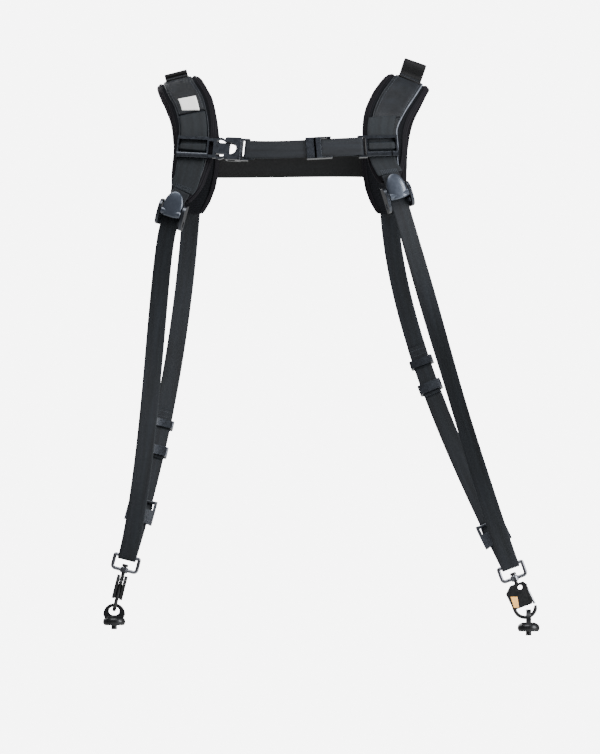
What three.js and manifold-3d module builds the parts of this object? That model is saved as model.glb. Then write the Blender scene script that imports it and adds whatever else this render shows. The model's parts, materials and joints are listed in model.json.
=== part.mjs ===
// Dual camera harness, worn: two shoulder pads, a chest strap and a camera strap on each side.
// Millimetres, +Z up, the wearer faces -Y. The origin lies midway between the two pads,
// at the height of the shoulders under them.
import * as THREE from 'three';
import { mergeVertices } from 'three/addons/utils/BufferGeometryUtils.js';
import Module from 'manifold-3d';

const wasm = await Module();
wasm.setup();

// Clearances
const gap = 0.35;
const pivotGap = 0.4;

// Webbing
const webWidth = 20;
const webThick = 1.5;
const wideWebWidth = 25;

// Shoulder pads
const padWidth = 50;
const padThick = 9;
const padEdgeThick = 5;
const padSpread = 122;
const padBehind = 80;
const padRearDrop = 139.5;
const panelThick = 1.2;
const panelShare = 0.6;
const patchWidth = 19.6;
const patchHeight = 18;
const patchThick = 0.8;
const patchLift = 2.6;
const patchTurn = 19;
const patchLean = 2;
const railWidth = 29;
const tabLength = 8.7;
const loopLeg = 9;

// Chest frames and the side release buckle
const frameWidth = 35;
const frameHeight = 24;
const frameSide = 1.8;
const frameTopBar = 3.5;
const frameMidBar = 4;
const frameLowBar = 6;
const frameThick = 3.1;
const lowBarThick = 4.4;
const midBarThick = 2.6;
const barRadius = 1.8;
const sideBarReach = 6.5;
const slitReach = 9.5;
const slitWidth = 1.5;
const neckReach = 5;
const neckLength = 3.6;
const prongLength = 29;
const prongWidth = 2.9;
const prongThick = 3.2;
const prongBow = 1.8;
const tongueWidth = 12;
const tongueThick = 5;
const socketStart = 18;
const socketLength = 19.2;
const socketWidth = 25;
const socketThick = 8.4;
const notchDepth = 13;
const endBarReach = 43;
const armWidth = 1.9;
const armThick = 4.6;

// Chest strap adjuster
const glideLength = 28;
const glideWidth = 24;
const glideBar = 2.2;
const glideRail = 1.4;

// Cam locks
const lockInside = 24.2;
const cheekThick = 3.4;
const lockLength = 28;
const lockDeep = 3.4;
const lockTall = 8.6;
const bedThick = 2.3;
const leverWidth = 22.4;
const leverLength = 27.8;
const leverLip = 4.3;
const leverPoint = 1.6;
const camRadius = 4.35;
const leverPin = 1.2;
const leverAlong = 9;

// Strap sliders and keepers
const sliderLength = 11;
const keeperLength = 9;
const ringWall = 2.2;

// Snap hooks
const loopWidth = 31;
const loopHeight = 19;
const loopWire = 3.6;
const bossRadius = 4.2;
const bossLength = 6.5;
const studRadius = 2;
const studHeadRadius = 3.4;
const studHeadThick = 3;
const hookLength = 59.5;
const bowRadius = 11.5;
const wireRadius = 2;
const coverTop = 20.4;
const coverLength = 27;
const coverWidth = 24;
const coverTopWidth = 15;
const coverPlate = 3.4;
const coverEye = 2.6;
const gateInset = 3;
const gateRadius = 1.5;
const gateSwing = 20.5;
const gatePin = 0.8;

// Camera fasteners
const lugWidth = 24;
const lugThick = 5.4;
const lugHeight = 15.5;
const lugHoleWidth = 11.4;
const lugHoleHeight = 9;
const lugCrown = 4;
const discRadius = 12.2;
const discThick = 8.5;
const screwRadius = 3.175;
const screwLength = 4.5;

// Run of the straps
const hookForward = 33;
const frontEntry = 8;
const rearExit = 22;

// Each pad's front half, from its lower end up to the ridge of the shoulder.
// drop is a share of frontDrop, out of padSpread, fore of forward and wide of padWidth.
// lean turns the pad's face outwards, in degrees.
const padColumns = ['drop', 'out', 'fore', 'wide', 'lean'];
const leftPadRows = [
  [1.0, 0.984, 1.0, 0.46, 14],
  [0.941, 0.947, 0.986, 0.58, 14],
  [0.864, 0.914, 0.962, 0.72, 12],
  [0.749, 0.885, 0.918, 0.8, 10],
  [0.674, 0.869, 0.89, 0.84, 10],
  [0.577, 0.852, 0.849, 0.89, 10],
  [0.473, 0.848, 0.8, 0.94, 10],
  [0.356, 0.852, 0.705, 0.98, 12],
  [0.205, 0.889, 0.52, 1.0, 14],
  [0.088, 0.955, 0.3, 0.98, 14],
  [0.025, 0.988, 0.15, 0.95, 14],
  [0, 1.0, 0, 0.92, 14],
];
const rightPadRows = [
  [1.0, 0.898, 1.0, 0.46, 14],
  [0.941, 0.877, 0.98, 0.6, 14],
  [0.862, 0.865, 0.954, 0.74, 12],
  [0.754, 0.859, 0.914, 0.86, 10],
  [0.655, 0.852, 0.876, 0.92, 10],
  [0.537, 0.844, 0.824, 0.96, 10],
  [0.458, 0.848, 0.771, 0.98, 12],
  [0.35, 0.869, 0.679, 1.0, 14],
  [0.202, 0.928, 0.486, 1.0, 17],
  [0.064, 1.012, 0.25, 0.98, 20],
  [0, 1.057, 0, 0.94, 20],
];
// Rear half, the same on both sides: drop is a share of padRearDrop, back of padBehind.
const rearColumns = ['drop', 'out', 'back', 'wide', 'lean'];
const rearRows = [
  [0.02, 0.985, 0.17, 0.96, 14],
  [0.095, 0.94, 0.34, 1.0, 14],
  [0.25, 0.872, 0.56, 1.0, 14],
  [0.46, 0.84, 0.755, 1.0, 12],
  [0.65, 0.842, 0.86, 0.98, 10],
  [0.8, 0.86, 0.925, 0.9, 8],
  [0.92, 0.878, 0.97, 0.72, 8],
  [1.0, 0.885, 1.0, 0.5, 8],
];

// What differs between the wearer's two sides. Rows count along the pad from its front end.
const sides = [
  {
    name: 'left', sign: -1, rows: leftPadRows, frontDrop: 126, forward: 73,
    chestRow: 5, seamRow: 7.5, seamTurn: -5, railShift: 0, lockTurn: 8, loopStand: 5.5, loopRow: 11.2,
    hookOut: 177, hookDrop: 511, hookLean: 14, hookTurn: 90, roll: 18,
    lockShare: 0.135, sliderShare: 0.32, keeperShare: 0.4, rearBow: 26,
  },
  {
    name: 'right', sign: 1, rows: rightPadRows, frontDrop: 106.5, forward: 70,
    chestRow: 3.85, seamRow: 6.75, seamTurn: 24, railShift: -6, lockTurn: 0, loopStand: 18, loopRow: 10.2,
    hookOut: 239.4, hookDrop: 520.5, hookLean: 20, hookTurn: 180, roll: 38,
    lockShare: 0.095, sliderShare: 0.53, keeperShare: 0.6, rearBow: 64,
  },
];

const materials = {
  webbing: { color: 0x20242a, roughness: 0.85, metalness: 0 },
  nylon: { color: 0x34373d, roughness: 0.8, metalness: 0 },
  mesh: { color: 0x121316, roughness: 0.95, metalness: 0 },
  plastic: { color: 0x17181b, roughness: 0.3, metalness: 0 },
  patch: { color: 0xe8e8e6, roughness: 0.6, metalness: 0 },
  steel: { color: 0x55585d, roughness: 0.3, metalness: 1 },
  silver: { color: 0xb9bcc0, roughness: 0.25, metalness: 1 },
  black: { color: 0x141517, roughness: 0.4, metalness: 0.2 },
};

const harness = new THREE.Group();

const v = (x, y, z) => new THREE.Vector3(x, y, z);
const radians = THREE.MathUtils.degToRad;
const lerp = THREE.MathUtils.lerp;

// A frame is a place with three directions: A across, T along and N outwards.
function frameOf(place, along, outHint) {
  const T = along.clone().normalize();
  const N = outHint.clone().addScaledVector(T, -outHint.dot(T)).normalize();
  return { P: place.clone(), T, N, A: T.clone().cross(N) };
}

function at(frame, across, along, out) {
  return frame.P.clone().addScaledVector(frame.A, across)
    .addScaledVector(frame.T, along).addScaledVector(frame.N, out);
}

function moved(frame, across, along, out) {
  return { ...frame, P: at(frame, across, along, out) };
}

function reversed(frame) {
  return { P: frame.P, A: frame.A.clone().negate(), T: frame.T.clone().negate(), N: frame.N };
}

function turnedOver(frame) {
  return { P: frame.P, A: frame.A, T: frame.T.clone().negate(), N: frame.N.clone().negate() };
}

function addMesh(name, geometry, look, frame = null) {
  const mesh = new THREE.Mesh(geometry, new THREE.MeshStandardMaterial(materials[look]));
  mesh.name = name;
  if (frame) {
    const matrix = new THREE.Matrix4().makeBasis(frame.A, frame.T, frame.N).setPosition(frame.P);
    matrix.decompose(mesh.position, mesh.quaternion, mesh.scale);
  }
  harness.add(mesh);
}

function geometryOf(positions, faces) {
  const geometry = new THREE.BufferGeometry();
  geometry.setAttribute('position', new THREE.Float32BufferAttribute(positions, 3));
  geometry.setIndex(faces);
  return geometry;
}

// Closed sheet between a lower and an upper grid of points. Each row has a frame, its places
// across, how far each slides along, and the heights of its lower and upper face there.
function sheetBody(rows) {
  const positions = [];
  const faces = [];
  const wide = rows[0].across.length;
  for (const row of rows) {
    row.across.forEach((place, j) => {
      const slide = row.slide ? row.slide[j] : 0;
      positions.push(...at(row.frame, place, slide, row.low[j]), ...at(row.frame, place, slide, row.high[j]));
    });
  }
  const low = (i, j) => 2 * (i * wide + j);
  const high = (i, j) => low(i, j) + 1;
  const quad = (a, b, c, d) => faces.push(a, b, c, a, c, d);
  for (let i = 0; i + 1 < rows.length; i += 1) {
    for (let j = 0; j + 1 < wide; j += 1) {
      quad(high(i, j), high(i, j + 1), high(i + 1, j + 1), high(i + 1, j));
      quad(low(i, j), low(i + 1, j), low(i + 1, j + 1), low(i, j + 1));
    }
    quad(low(i, wide - 1), low(i + 1, wide - 1), high(i + 1, wide - 1), high(i, wide - 1));
    quad(low(i, 0), high(i, 0), high(i + 1, 0), low(i + 1, 0));
  }
  const last = rows.length - 1;
  for (let j = 0; j + 1 < wide; j += 1) {
    quad(low(last, j), high(last, j), high(last, j + 1), low(last, j + 1));
    quad(low(0, j), low(0, j + 1), high(0, j + 1), high(0, j));
  }
  return geometryOf(positions, faces);
}

// Flat webbing that follows a list of frames.
function webbing(frames, width = webWidth, thick = webThick) {
  return sheetBody(frames.map((frame) => ({
    frame,
    across: [-width / 2, width / 2],
    low: [-thick / 2, -thick / 2],
    high: [thick / 2, thick / 2],
  })));
}

// Closed body through rings of points, each ring anticlockwise seen from the end it runs to.
function ringsBody(rings) {
  const positions = [];
  const faces = [];
  const around = rings[0].length;
  for (const ring of rings) {
    for (const point of ring) {
      positions.push(...point);
    }
  }
  for (let i = 0; i + 1 < rings.length; i += 1) {
    for (let j = 0; j < around; j += 1) {
      const k = (j + 1) % around;
      const [a, b, c, d] = [i * around + j, i * around + k, (i + 1) * around + k, (i + 1) * around + j];
      faces.push(a, b, c, a, c, d);
    }
  }
  for (const [index, turn] of [[0, -1], [rings.length - 1, 1]]) {
    const centre = rings[index].reduce((sum, p) => sum.add(p), v(0, 0, 0)).divideScalar(around);
    const middle = positions.push(...centre) / 3 - 1;
    for (let j = 0; j < around; j += 1) {
      const here = index * around + j;
      const next = index * around + ((j + 1) % around);
      faces.push(middle, ...(turn > 0 ? [here, next] : [next, here]));
    }
  }
  return geometryOf(positions, faces);
}

function solid(geometry) {
  const plain = geometry.clone();
  plain.deleteAttribute('normal');
  plain.deleteAttribute('uv');
  const merged = mergeVertices(plain, 1e-4);
  return new wasm.Manifold(new wasm.Mesh({
    numProp: 3,
    vertProperties: new Float32Array(merged.attributes.position.array),
    triVerts: new Uint32Array(merged.index.array),
  }));
}

function fused(parts, holes = []) {
  let body = solid(parts[0]);
  for (const part of parts.slice(1)) {
    body = body.add(solid(part));
  }
  for (const hole of holes) {
    body = body.subtract(solid(hole));
  }
  const mesh = body.getMesh();
  return geometryOf(Array.from(mesh.vertProperties), Array.from(mesh.triVerts));
}

// Box given by its lowest and highest corner.
function box(low, high) {
  const size = high.map((value, i) => value - low[i]);
  const middle = high.map((value, i) => (value + low[i]) / 2);
  return new THREE.BoxGeometry(...size).translate(...middle);
}

// Round bar along X, Y or Z between two places on that axis.
function bar(axis, radius, from, to, x = 0, y = 0, z = 0, segments = 12) {
  const geometry = new THREE.CylinderGeometry(radius, radius, to - from, segments);
  geometry.translate(0, (from + to) / 2, 0);
  if (axis === 'x') {
    geometry.rotateZ(-Math.PI / 2);
  }
  if (axis === 'z') {
    geometry.rotateX(Math.PI / 2);
  }
  return geometry.translate(x, y, z);
}

// Outline in the XY plane, pushed from one height to another.
function pushed(shape, from, to, curveSegments = 6) {
  const geometry = new THREE.ExtrudeGeometry(shape, {
    depth: to - from, bevelEnabled: false, curveSegments,
  });
  return geometry.translate(0, 0, from);
}

function roundedRectangle(width, height, radius, shape = new THREE.Shape()) {
  const [x, y] = [width / 2, height / 2];
  shape.moveTo(-x + radius, -y);
  shape.lineTo(x - radius, -y);
  shape.absarc(x - radius, -y + radius, radius, -Math.PI / 2, 0);
  shape.absarc(x - radius, y - radius, radius, 0, Math.PI / 2);
  shape.absarc(-x + radius, y - radius, radius, Math.PI / 2, Math.PI);
  shape.absarc(-x + radius, -y + radius, radius, Math.PI, Math.PI * 1.5);
  return shape;
}

// Shoulder pads. The path of a pad runs from its front end over the ridge to its rear end.
const ridgeHeight = padThick / 2;
const padShares = [-1, -0.9, -0.6, -0.3, 0, 0.3, 0.6, 0.9, 1];
const crown = (share) => 1 - share ** 4;
const padTop = (share) => (padEdgeThick + (padThick - padEdgeThick) * crown(share)) / 2;

function named(columns, rows) {
  return rows.map((row) => Object.fromEntries(columns.map((column, i) => [column, row[i]])));
}

function makePadPath(side) {
  const front = named(padColumns, side.rows).map((row) => ({
    ...row,
    point: v(
      side.sign * row.out * padSpread,
      -row.fore * side.forward,
      ridgeHeight - row.drop * side.frontDrop,
    ),
  }));
  const ridgeOut = front[front.length - 1].out;
  const rear = named(rearColumns, rearRows).map((row) => ({
    ...row,
    point: v(
      side.sign * (row.out + (ridgeOut - 1) * (1 - row.drop) ** 2) * padSpread,
      row.back * padBehind,
      ridgeHeight - row.drop * padRearDrop,
    ),
  }));
  const rows = [...front, ...rear];
  const curve = new THREE.CatmullRomCurve3(rows.map((row) => row.point));
  const mix = (column, row) => {
    const i = Math.min(Math.floor(row), rows.length - 2);
    return lerp(rows[i][column], rows[i + 1][column], row - i);
  };
  const place = (row) => curve.getPoint(row / (rows.length - 1));
  const step = 0.02;
  const frame = (row) => {
    const along = place(Math.min(row + step, rows.length - 1)).sub(place(Math.max(row - step, 0)));
    const T = along.clone().normalize();
    const acrossHint = v(1, 0, 0).applyAxisAngle(T, side.sign * radians(mix('lean', row)));
    return frameOf(place(row), T, acrossHint.cross(T));
  };
  const rowStep = (row, length) => {
    const speed = place(row + step).distanceTo(place(row - step)) / (2 * step);
    return length / speed;
  };
  return {
    last: rows.length - 1,
    ridge: front.length - 1,
    frame,
    rowStep,
    halfWidth: (row) => (mix('wide', row) * padWidth) / 2,
  };
}

function rowsBetween(from, to, step = 0.5) {
  const count = Math.max(1, Math.round(Math.abs(to - from) / step));
  return Array.from({ length: count + 1 }, (_, i) => lerp(from, to, i / count));
}

// The panel and the rail meet at a seam that is turned a little from square.
function seamSlide(side, across) {
  return across.map((place) => place * Math.tan(radians(side.seamTurn)));
}

function makePad(side, path) {
  const rows = rowsBetween(0, path.last);
  addMesh(`shoulder_pad_${side.name}`, sheetBody(rows.map((row) => ({
    frame: path.frame(row),
    across: padShares.map((share) => share * path.halfWidth(row)),
    low: padShares.map((share) => -padTop(share)),
    high: padShares.map(padTop),
  }))), 'mesh');
  // Past the seam the panel's rows are the pad's own, so that it follows the same facets.
  const panelRows = [side.seamRow, ...rowsBetween(Math.ceil(side.seamRow * 2 + 1) / 2, path.ridge + 4)];
  const panelShares = padShares.filter((share) => Math.abs(share) <= panelShare);
  addMesh(`pad_panel_${side.name}`, sheetBody(panelRows.map((row, i) => {
    const across = panelShares.map((share) => share * path.halfWidth(row));
    const lowest = i === 0 ? 2 * gap : gap;
    return {
      frame: path.frame(row),
      across,
      slide: i === 0 ? seamSlide(side, across) : null,
      low: panelShares.map((share) => padTop(share) + lowest),
      high: panelShares.map((share) => padTop(share) + lowest + panelThick),
    };
  })), 'nylon');
}

function makePatch(path, side) {
  const middleRow = side.seamRow + path.rowStep(side.seamRow, patchLift + patchHeight / 2);
  const lowest = gap + panelThick + gap;
  const [turn, lean] = [radians(patchTurn), radians(patchLean)];
  const grid = [-1, -0.5, 0, 0.5, 1];
  addMesh('patch_left', sheetBody(grid.map((level) => {
    const up = (level * patchHeight) / 2;
    const row = middleRow + path.rowStep(middleRow, up * Math.cos(lean));
    const across = grid.map((x) => (x * patchWidth / 2) * Math.cos(turn) + up * Math.sin(lean));
    const tops = across.map((place) => padTop(place / path.halfWidth(row)) + lowest);
    return {
      frame: path.frame(row),
      across,
      slide: grid.map((x) => -(x * patchWidth / 2) * Math.sin(turn)),
      low: tops,
      high: tops.map((top) => top + patchThick),
    };
  })), 'patch');
}

// Rail webbing: it lies on the pad and rises over the middle bar of the chest frame.
const railBase = padThick / 2 + gap;
const midBarTop = railBase + midBarThick;
const railRise = midBarTop + gap - railBase;

function railHeight(fromChest) {
  const flatTop = frameMidBar / 2 + 2 * gap;
  const foot = frameHeight / 2 - frameLowBar - 2 * gap;
  const share = THREE.MathUtils.clamp((foot - Math.abs(fromChest)) / (foot - flatTop), 0, 1);
  return railBase + railRise * share;
}

// The rail lies off the pad's middle by railShift, and comes back to it at its lower end.
function railMiddle(side, row) {
  return side.railShift * THREE.MathUtils.smoothstep(row, 1, 3);
}

function makeRail(side, path) {
  const rowMm = path.rowStep(side.chestRow, 1);
  const flatTop = frameMidBar / 2 + 2 * gap;
  const foot = frameHeight / 2 - frameLowBar - 2 * gap;
  const nearChest = [-frameHeight / 2, -foot, -flatTop, flatTop, foot, frameHeight / 2];
  const chestRows = nearChest.map((length) => side.chestRow + length * rowMm);
  const rows = [
    ...rowsBetween(side.seamRow - 0.1, chestRows[5] + 0.1, 0.9),
    ...chestRows.slice(0, 5).reverse(),
    ...rowsBetween(chestRows[0] - 0.3, railEndRow),
  ];
  addMesh(`rail_webbing_${side.name}`, sheetBody(rows.map((row, i) => {
    const half = Math.min(railWidth / 2, path.halfWidth(row) * 0.92);
    const lowest = railHeight((row - side.chestRow) / rowMm);
    const across = [-half - railMiddle(side, row), half - railMiddle(side, row)];
    return {
      frame: reversed(path.frame(row)),
      across,
      slide: i === 0 ? seamSlide(side, across) : null,
      low: [lowest, lowest],
      high: [lowest + webThick, lowest + webThick],
    };
  })), 'webbing');
}

// Tab webbing: from the rail's end it runs off the pad, round the top bar of the cam lock.
const railEndRow = 0.95;
const tabEdge = railBase + webThick / 2;
const wrapRadius = barRadius + gap + webThick / 2;

function lockPlace(path) {
  return at(reversed(path.frame(0)), 0, tabLength, tabEdge - wrapRadius);
}

// The lock points at the hook, turned a little about its own face.
function lockFrameOf(side, place, outHint, hook) {
  const lock = frameOf(place, hook.P.clone().sub(place), outHint);
  return frameOf(place, lock.T.clone().applyAxisAngle(lock.N, side.sign * radians(side.lockTurn)), lock.N);
}

function makeTab(side, path, lock) {
  const onPad = rowsBetween(railEndRow - 0.08, 0, 0.45)
    .map((row) => moved(reversed(path.frame(row)), 0, 0, tabEdge));
  const turns = 6;
  const wrap = Array.from({ length: turns + 1 }, (_, i) => {
    const angle = (Math.PI * i) / turns;
    const out = lock.N.clone().multiplyScalar(Math.cos(angle)).addScaledVector(lock.T, Math.sin(angle));
    const along = lock.T.clone().multiplyScalar(Math.cos(angle)).addScaledVector(lock.N, -Math.sin(angle));
    return frameOf(lock.P.clone().addScaledVector(out, wrapRadius), along, out);
  });
  const returned = moved(wrap[turns], 0, tabLength * 0.35, 0);
  addMesh(`pad_tab_${side.name}`, webbing([...onPad, ...wrap, returned]), 'webbing');
}

// Loop of wide webbing that stands up from the ridge, with a foot each way along the pad.
const loopColumns = ['along', 'rise'];
const loopProfile = [
  [-1.0, 0],
  [-0.3, 0],
  [-0.12, 0.12],
  [-0.2, 0.55],
  [-0.17, 0.9],
  [0, 1.0],
  [0.17, 0.9],
  [0.2, 0.55],
  [0.12, 0.12],
  [0.3, 0],
  [1.0, 0],
];

function makeTopLoop(side, path) {
  const base = railBase + panelThick + gap + webThick / 2;
  const profile = named(loopColumns, loopProfile);
  const legs = profile.map((row) => {
    const frame = path.frame(side.loopRow + path.rowStep(side.loopRow, row.along * loopLeg));
    return moved(frame, 0, 0, base + row.rise * side.loopStand);
  });
  const frames = legs.map((leg, i) => {
    const before = legs[Math.max(i - 1, 0)].P;
    const after = legs[Math.min(i + 1, legs.length - 1)].P;
    const along = after.clone().sub(before);
    return frameOf(leg.P, along, leg.A.clone().cross(along));
  });
  addMesh(`top_loop_${side.name}`, webbing(frames, wideWebWidth), 'webbing');
}

// Cam locks. Across is X, along the strap is Y and outwards is Z; the top bar is at the origin.
const leverHigh = webThick / 2 + gap + camRadius;
const lockFront = -barRadius - 0.2;
const lockEnd = lockFront + lockLength;

function lockFrameBody(topBarDrop) {
  const outline = new THREE.Shape();
  const corner = 4;
  outline.moveTo(lockFront, -lockDeep);
  outline.lineTo(lockEnd, -lockDeep);
  outline.lineTo(lockEnd, 0);
  outline.quadraticCurveTo(lockEnd - 1, lockTall, leverAlong + corner, lockTall);
  outline.lineTo(leverAlong - corner, lockTall);
  outline.quadraticCurveTo(lockFront, lockTall - corner / 2, lockFront, barRadius);
  const opening = new THREE.Path();
  opening.absellipse(lockEnd - 7.5, 1.2, 4, 2.2, 0, Math.PI * 2);
  outline.holes.push(opening);
  const inside = lockInside / 2;
  const cheek = pushed(outline, 0, cheekThick, 3);
  // The outline's X and Y become the lock's along and out.
  cheek.applyMatrix4(new THREE.Matrix4().makeBasis(v(0, 1, 0), v(0, 0, 1), v(1, 0, 0)));
  const cheeks = [inside, -inside - cheekThick].map((x) => cheek.clone().translate(x, 0, 0));
  const sink = 0.5;
  const reach = inside + sink;
  const bedTop = -webThick / 2 - gap;
  const bed = box([-reach, leverAlong, bedTop - bedThick], [reach, lockEnd, bedTop]);
  const topBar = bar('x', barRadius, -reach, reach, 0, 0, -topBarDrop);
  const pin = bar('x', leverPin, -reach, reach, 0, leverAlong, leverHigh, 8);
  return fused([...cheeks, bed, topBar, pin]);
}

// Domed lever, shaped like a thumb: it rises from its point, near the pad, to cover the cam.
// Its own origin is its pivot.
const domeSection = [
  [1, 0], [1, 0.35], [0.82, 0.75], [0.45, 0.95], [0, 1], [-0.45, 0.95], [-0.82, 0.75], [-1, 0.35], [-1, 0],
];

function leverBody() {
  const half = leverWidth / 2;
  const under = barRadius + gap + webThick + gap - leverHigh;
  const rise = camRadius + gap - under;
  const rings = [0, 0.2, 0.4, 0.6, 0.78, 0.91, 1].map((share) => {
    const wide = Math.max(half * (1 - share ** 2.8) ** 0.55, leverPoint);
    const high = lerp(rise, leverPoint, share ** 1.6);
    return domeSection.map(([x, z]) => v(x * wide, leverLip - share * leverLength, under + z * high));
  });
  const dome = ringsBody(rings);
  const hub = bar('x', camRadius, -half, half, 0, 0, 0, 12);
  const bore = bar('x', leverPin + pivotGap, -half - 1, half + 1, 0, 0, 0, 8);
  return fused([dome, hub], [bore]);
}

function makeLock(name, frame, topBarDrop) {
  addMesh(`${name}_frame`, lockFrameBody(topBarDrop), 'plastic', frame);
  addMesh(`${name}_lever`, leverBody(), 'plastic', moved(frame, 0, leverAlong, leverHigh));
}

// Camera strap: one band from the pad's cam lock, round the hook's loop and up to the rear end.
function hookFrameOf(side) {
  const lean = radians(side.hookLean);
  const place = v(side.sign * side.hookOut, -hookForward, -side.hookDrop);
  return frameOf(place, v(side.sign * Math.sin(lean), 0, -Math.cos(lean)), v(0, -1, 0));
}

function bezierFrames(curve, count, outFrom, outTo, roll) {
  return Array.from({ length: count + 1 }, (_, i) => {
    const share = i / count;
    const along = curve.getTangentAt(share);
    const out = outFrom.clone().lerp(outTo, THREE.MathUtils.smoothstep(share, 0, 1));
    out.applyAxisAngle(along, roll * Math.sin(Math.PI * share) ** 2);
    return frameOf(curve.getPointAt(share), along, out);
  });
}

function frameAt(run, share) {
  const place = share * (run.length - 1);
  const i = Math.min(Math.floor(place), run.length - 2);
  const [a, b] = [run[i], run[i + 1]];
  const along = b.P.clone().sub(a.P);
  return frameOf(a.P.clone().lerp(b.P, place - i), along, a.N.clone().lerp(b.N, place - i));
}

function strapRun(side, path, lock, hook) {
  const radius = loopWire * 0.5 + 0.6 + gap + webThick / 2;
  const [entry, exit] = [radians(frontEntry), radians(rearExit)];
  const outAt = (angle) => hook.N.clone().multiplyScalar(Math.cos(angle))
    .addScaledVector(hook.T, Math.sin(angle));
  const alongAt = (angle) => hook.T.clone().multiplyScalar(Math.cos(angle))
    .addScaledVector(hook.N, -Math.sin(angle));
  const frontEnd = hook.P.clone().addScaledVector(outAt(entry), radius);
  const rearStart = hook.P.clone().addScaledVector(outAt(Math.PI - exit), radius);
  const tail = moved(lock, 0, wrapRadius + webThick + gap, 0);
  const lockExit = moved(lock, 0, lockEnd + 1, 0);
  const frontLength = frontEnd.distanceTo(lockExit.P);
  const front = bezierFrames(new THREE.CubicBezierCurve3(
    lockExit.P,
    lockExit.P.clone().addScaledVector(lock.T, frontLength * 0.12),
    frontEnd.clone().addScaledVector(alongAt(entry), -frontLength * 0.3),
    frontEnd,
  ), 20, lock.N, outAt(entry), side.sign * radians(side.roll));
  const turns = 8;
  const wrap = Array.from({ length: turns + 1 }, (_, i) => {
    const angle = lerp(entry, Math.PI - exit, i / turns);
    return frameOf(hook.P.clone().addScaledVector(outAt(angle), radius), alongAt(angle), outAt(angle));
  });
  const onPad = rowsBetween(path.last, path.last - 2)
    .map((row) => moved(reversed(path.frame(row)), 0, 0, tabEdge));
  const padEnd = onPad[0];
  const rearLength = padEnd.P.distanceTo(rearStart);
  const rearUp = alongAt(Math.PI - exit);
  const rear = bezierFrames(new THREE.CubicBezierCurve3(
    rearStart,
    rearStart.clone().addScaledVector(rearUp, rearLength * 0.4).add(v(-side.sign * side.rearBow * 0.3, 0, 0)),
    padEnd.P.clone().addScaledVector(padEnd.T, -rearLength * 0.28),
    padEnd.P,
  ), 26, outAt(Math.PI - exit), padEnd.N, 0);
  return {
    rear,
    frames: [tail, ...front, ...wrap.slice(1, -1), ...rear, ...onPad.slice(1)],
  };
}

// Flat loop round the strap, open for `layers` of webbing.
function ringBody(length, layers) {
  const inside = [webWidth + 2 * gap + 1, layers * (webThick + gap) + gap];
  const outline = roundedRectangle(inside[0] + 2 * ringWall, inside[1] + 2 * ringWall, ringWall);
  const hole = new THREE.Path();
  roundedRectangle(inside[0], inside[1], 0.3, hole);
  outline.holes.push(hole);
  const body = pushed(outline, -length / 2, length / 2, 2);
  // The outline's Y and its push become the ring's out and along.
  return body.applyMatrix4(new THREE.Matrix4().makeBasis(v(1, 0, 0), v(0, 0, 1), v(0, -1, 0)));
}

function makeStrap(side, path, lock, hook) {
  const run = strapRun(side, path, lock, hook);
  addMesh(`strap_${side.name}`, webbing(run.frames), 'webbing');
  const layerOut = webThick + gap;
  const fixed = [
    ['slider', side.sliderShare, sliderLength],
    ['keeper', side.keeperShare, keeperLength],
  ];
  for (const [name, share, length] of fixed) {
    const place = moved(frameAt(run.rear, share), 0, 0, -layerOut / 2);
    addMesh(`strap_${name}_${side.name}`, ringBody(length, 2), 'plastic', place);
  }
  const tailStart = side.sliderShare - 0.02;
  const tailEnd = side.keeperShare + 0.045;
  const pieces = 8;
  const tail = Array.from({ length: pieces + 1 }, (_, i) => (
    moved(frameAt(run.rear, lerp(tailStart, tailEnd, i / pieces)), 0, 0, -layerOut)
  ));
  addMesh(`strap_tail_${side.name}`, webbing(tail), 'webbing');
  const rearLock = reversed(frameAt(run.rear, side.lockShare));
  const topBarDrop = webThick / 2 + gap + barRadius;
  makeLock(`rear_lock_${side.name}`, moved(rearLock, 0, -lockLength / 2, 0), topBarDrop);
}

// Hook assembly. Its frame has the loop's top bar at the origin and the hook's axis along Y.
function swivelLoopBody() {
  const outline = roundedRectangle(loopWidth, loopHeight, 3);
  const hole = new THREE.Path();
  roundedRectangle(loopWidth - 2 * loopWire, loopHeight - 2 * loopWire, 1.2, hole);
  outline.holes.push(hole);
  const middle = loopHeight / 2 - loopWire / 2;
  const bevel = 0.7;
  const ring = new THREE.ExtrudeGeometry(outline, {
    depth: loopWire - 2 * bevel, bevelEnabled: true, bevelThickness: bevel, bevelSize: bevel,
    bevelOffset: -bevel, bevelSegments: 1, curveSegments: 2,
  }).translate(0, middle, bevel - loopWire / 2);
  const bossFrom = loopHeight - loopWire - bossLength / 2;
  const boss = bar('y', bossRadius, bossFrom, bossFrom + bossLength, 0, 0, 0, 12);
  const bore = bar('y', studRadius + pivotGap, bossFrom - 1, bossFrom + bossLength + 1, 0, 0, 0, 12);
  return { body: fused([ring, boss], [bore]), bossFrom };
}

// Bent wire of the hook in its own plane: from the stud down the spine, round the bow to the nose.
function hookWire(radius) {
  const bowTop = hookLength - bowRadius;
  const top = coverTop + wireRadius;
  const path = [[0, top], [-bowRadius * 0.55, top + 2.2], [-bowRadius, top + 9.5]];
  const steps = 12;
  for (let i = 0; i <= steps; i += 1) {
    const angle = Math.PI - (bowTurn * i) / steps;
    path.push([bowRadius * Math.cos(angle), bowTop + bowRadius * Math.sin(angle)]);
  }
  const points = path.map(([x, y]) => v(x, y, 0));
  const sidesRound = 8;
  return ringsBody(points.map((point, i) => {
    const before = points[Math.max(i - 1, 0)];
    const after = points[Math.min(i + 1, points.length - 1)];
    const along = after.clone().sub(before).normalize();
    const side = v(along.y, -along.x, 0);
    return Array.from({ length: sidesRound }, (_, j) => {
      const angle = (2 * Math.PI * j) / sidesRound;
      return point.clone().addScaledVector(side, -radius * Math.cos(angle))
        .add(v(0, 0, radius * Math.sin(angle)));
    });
  }));
}

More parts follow.
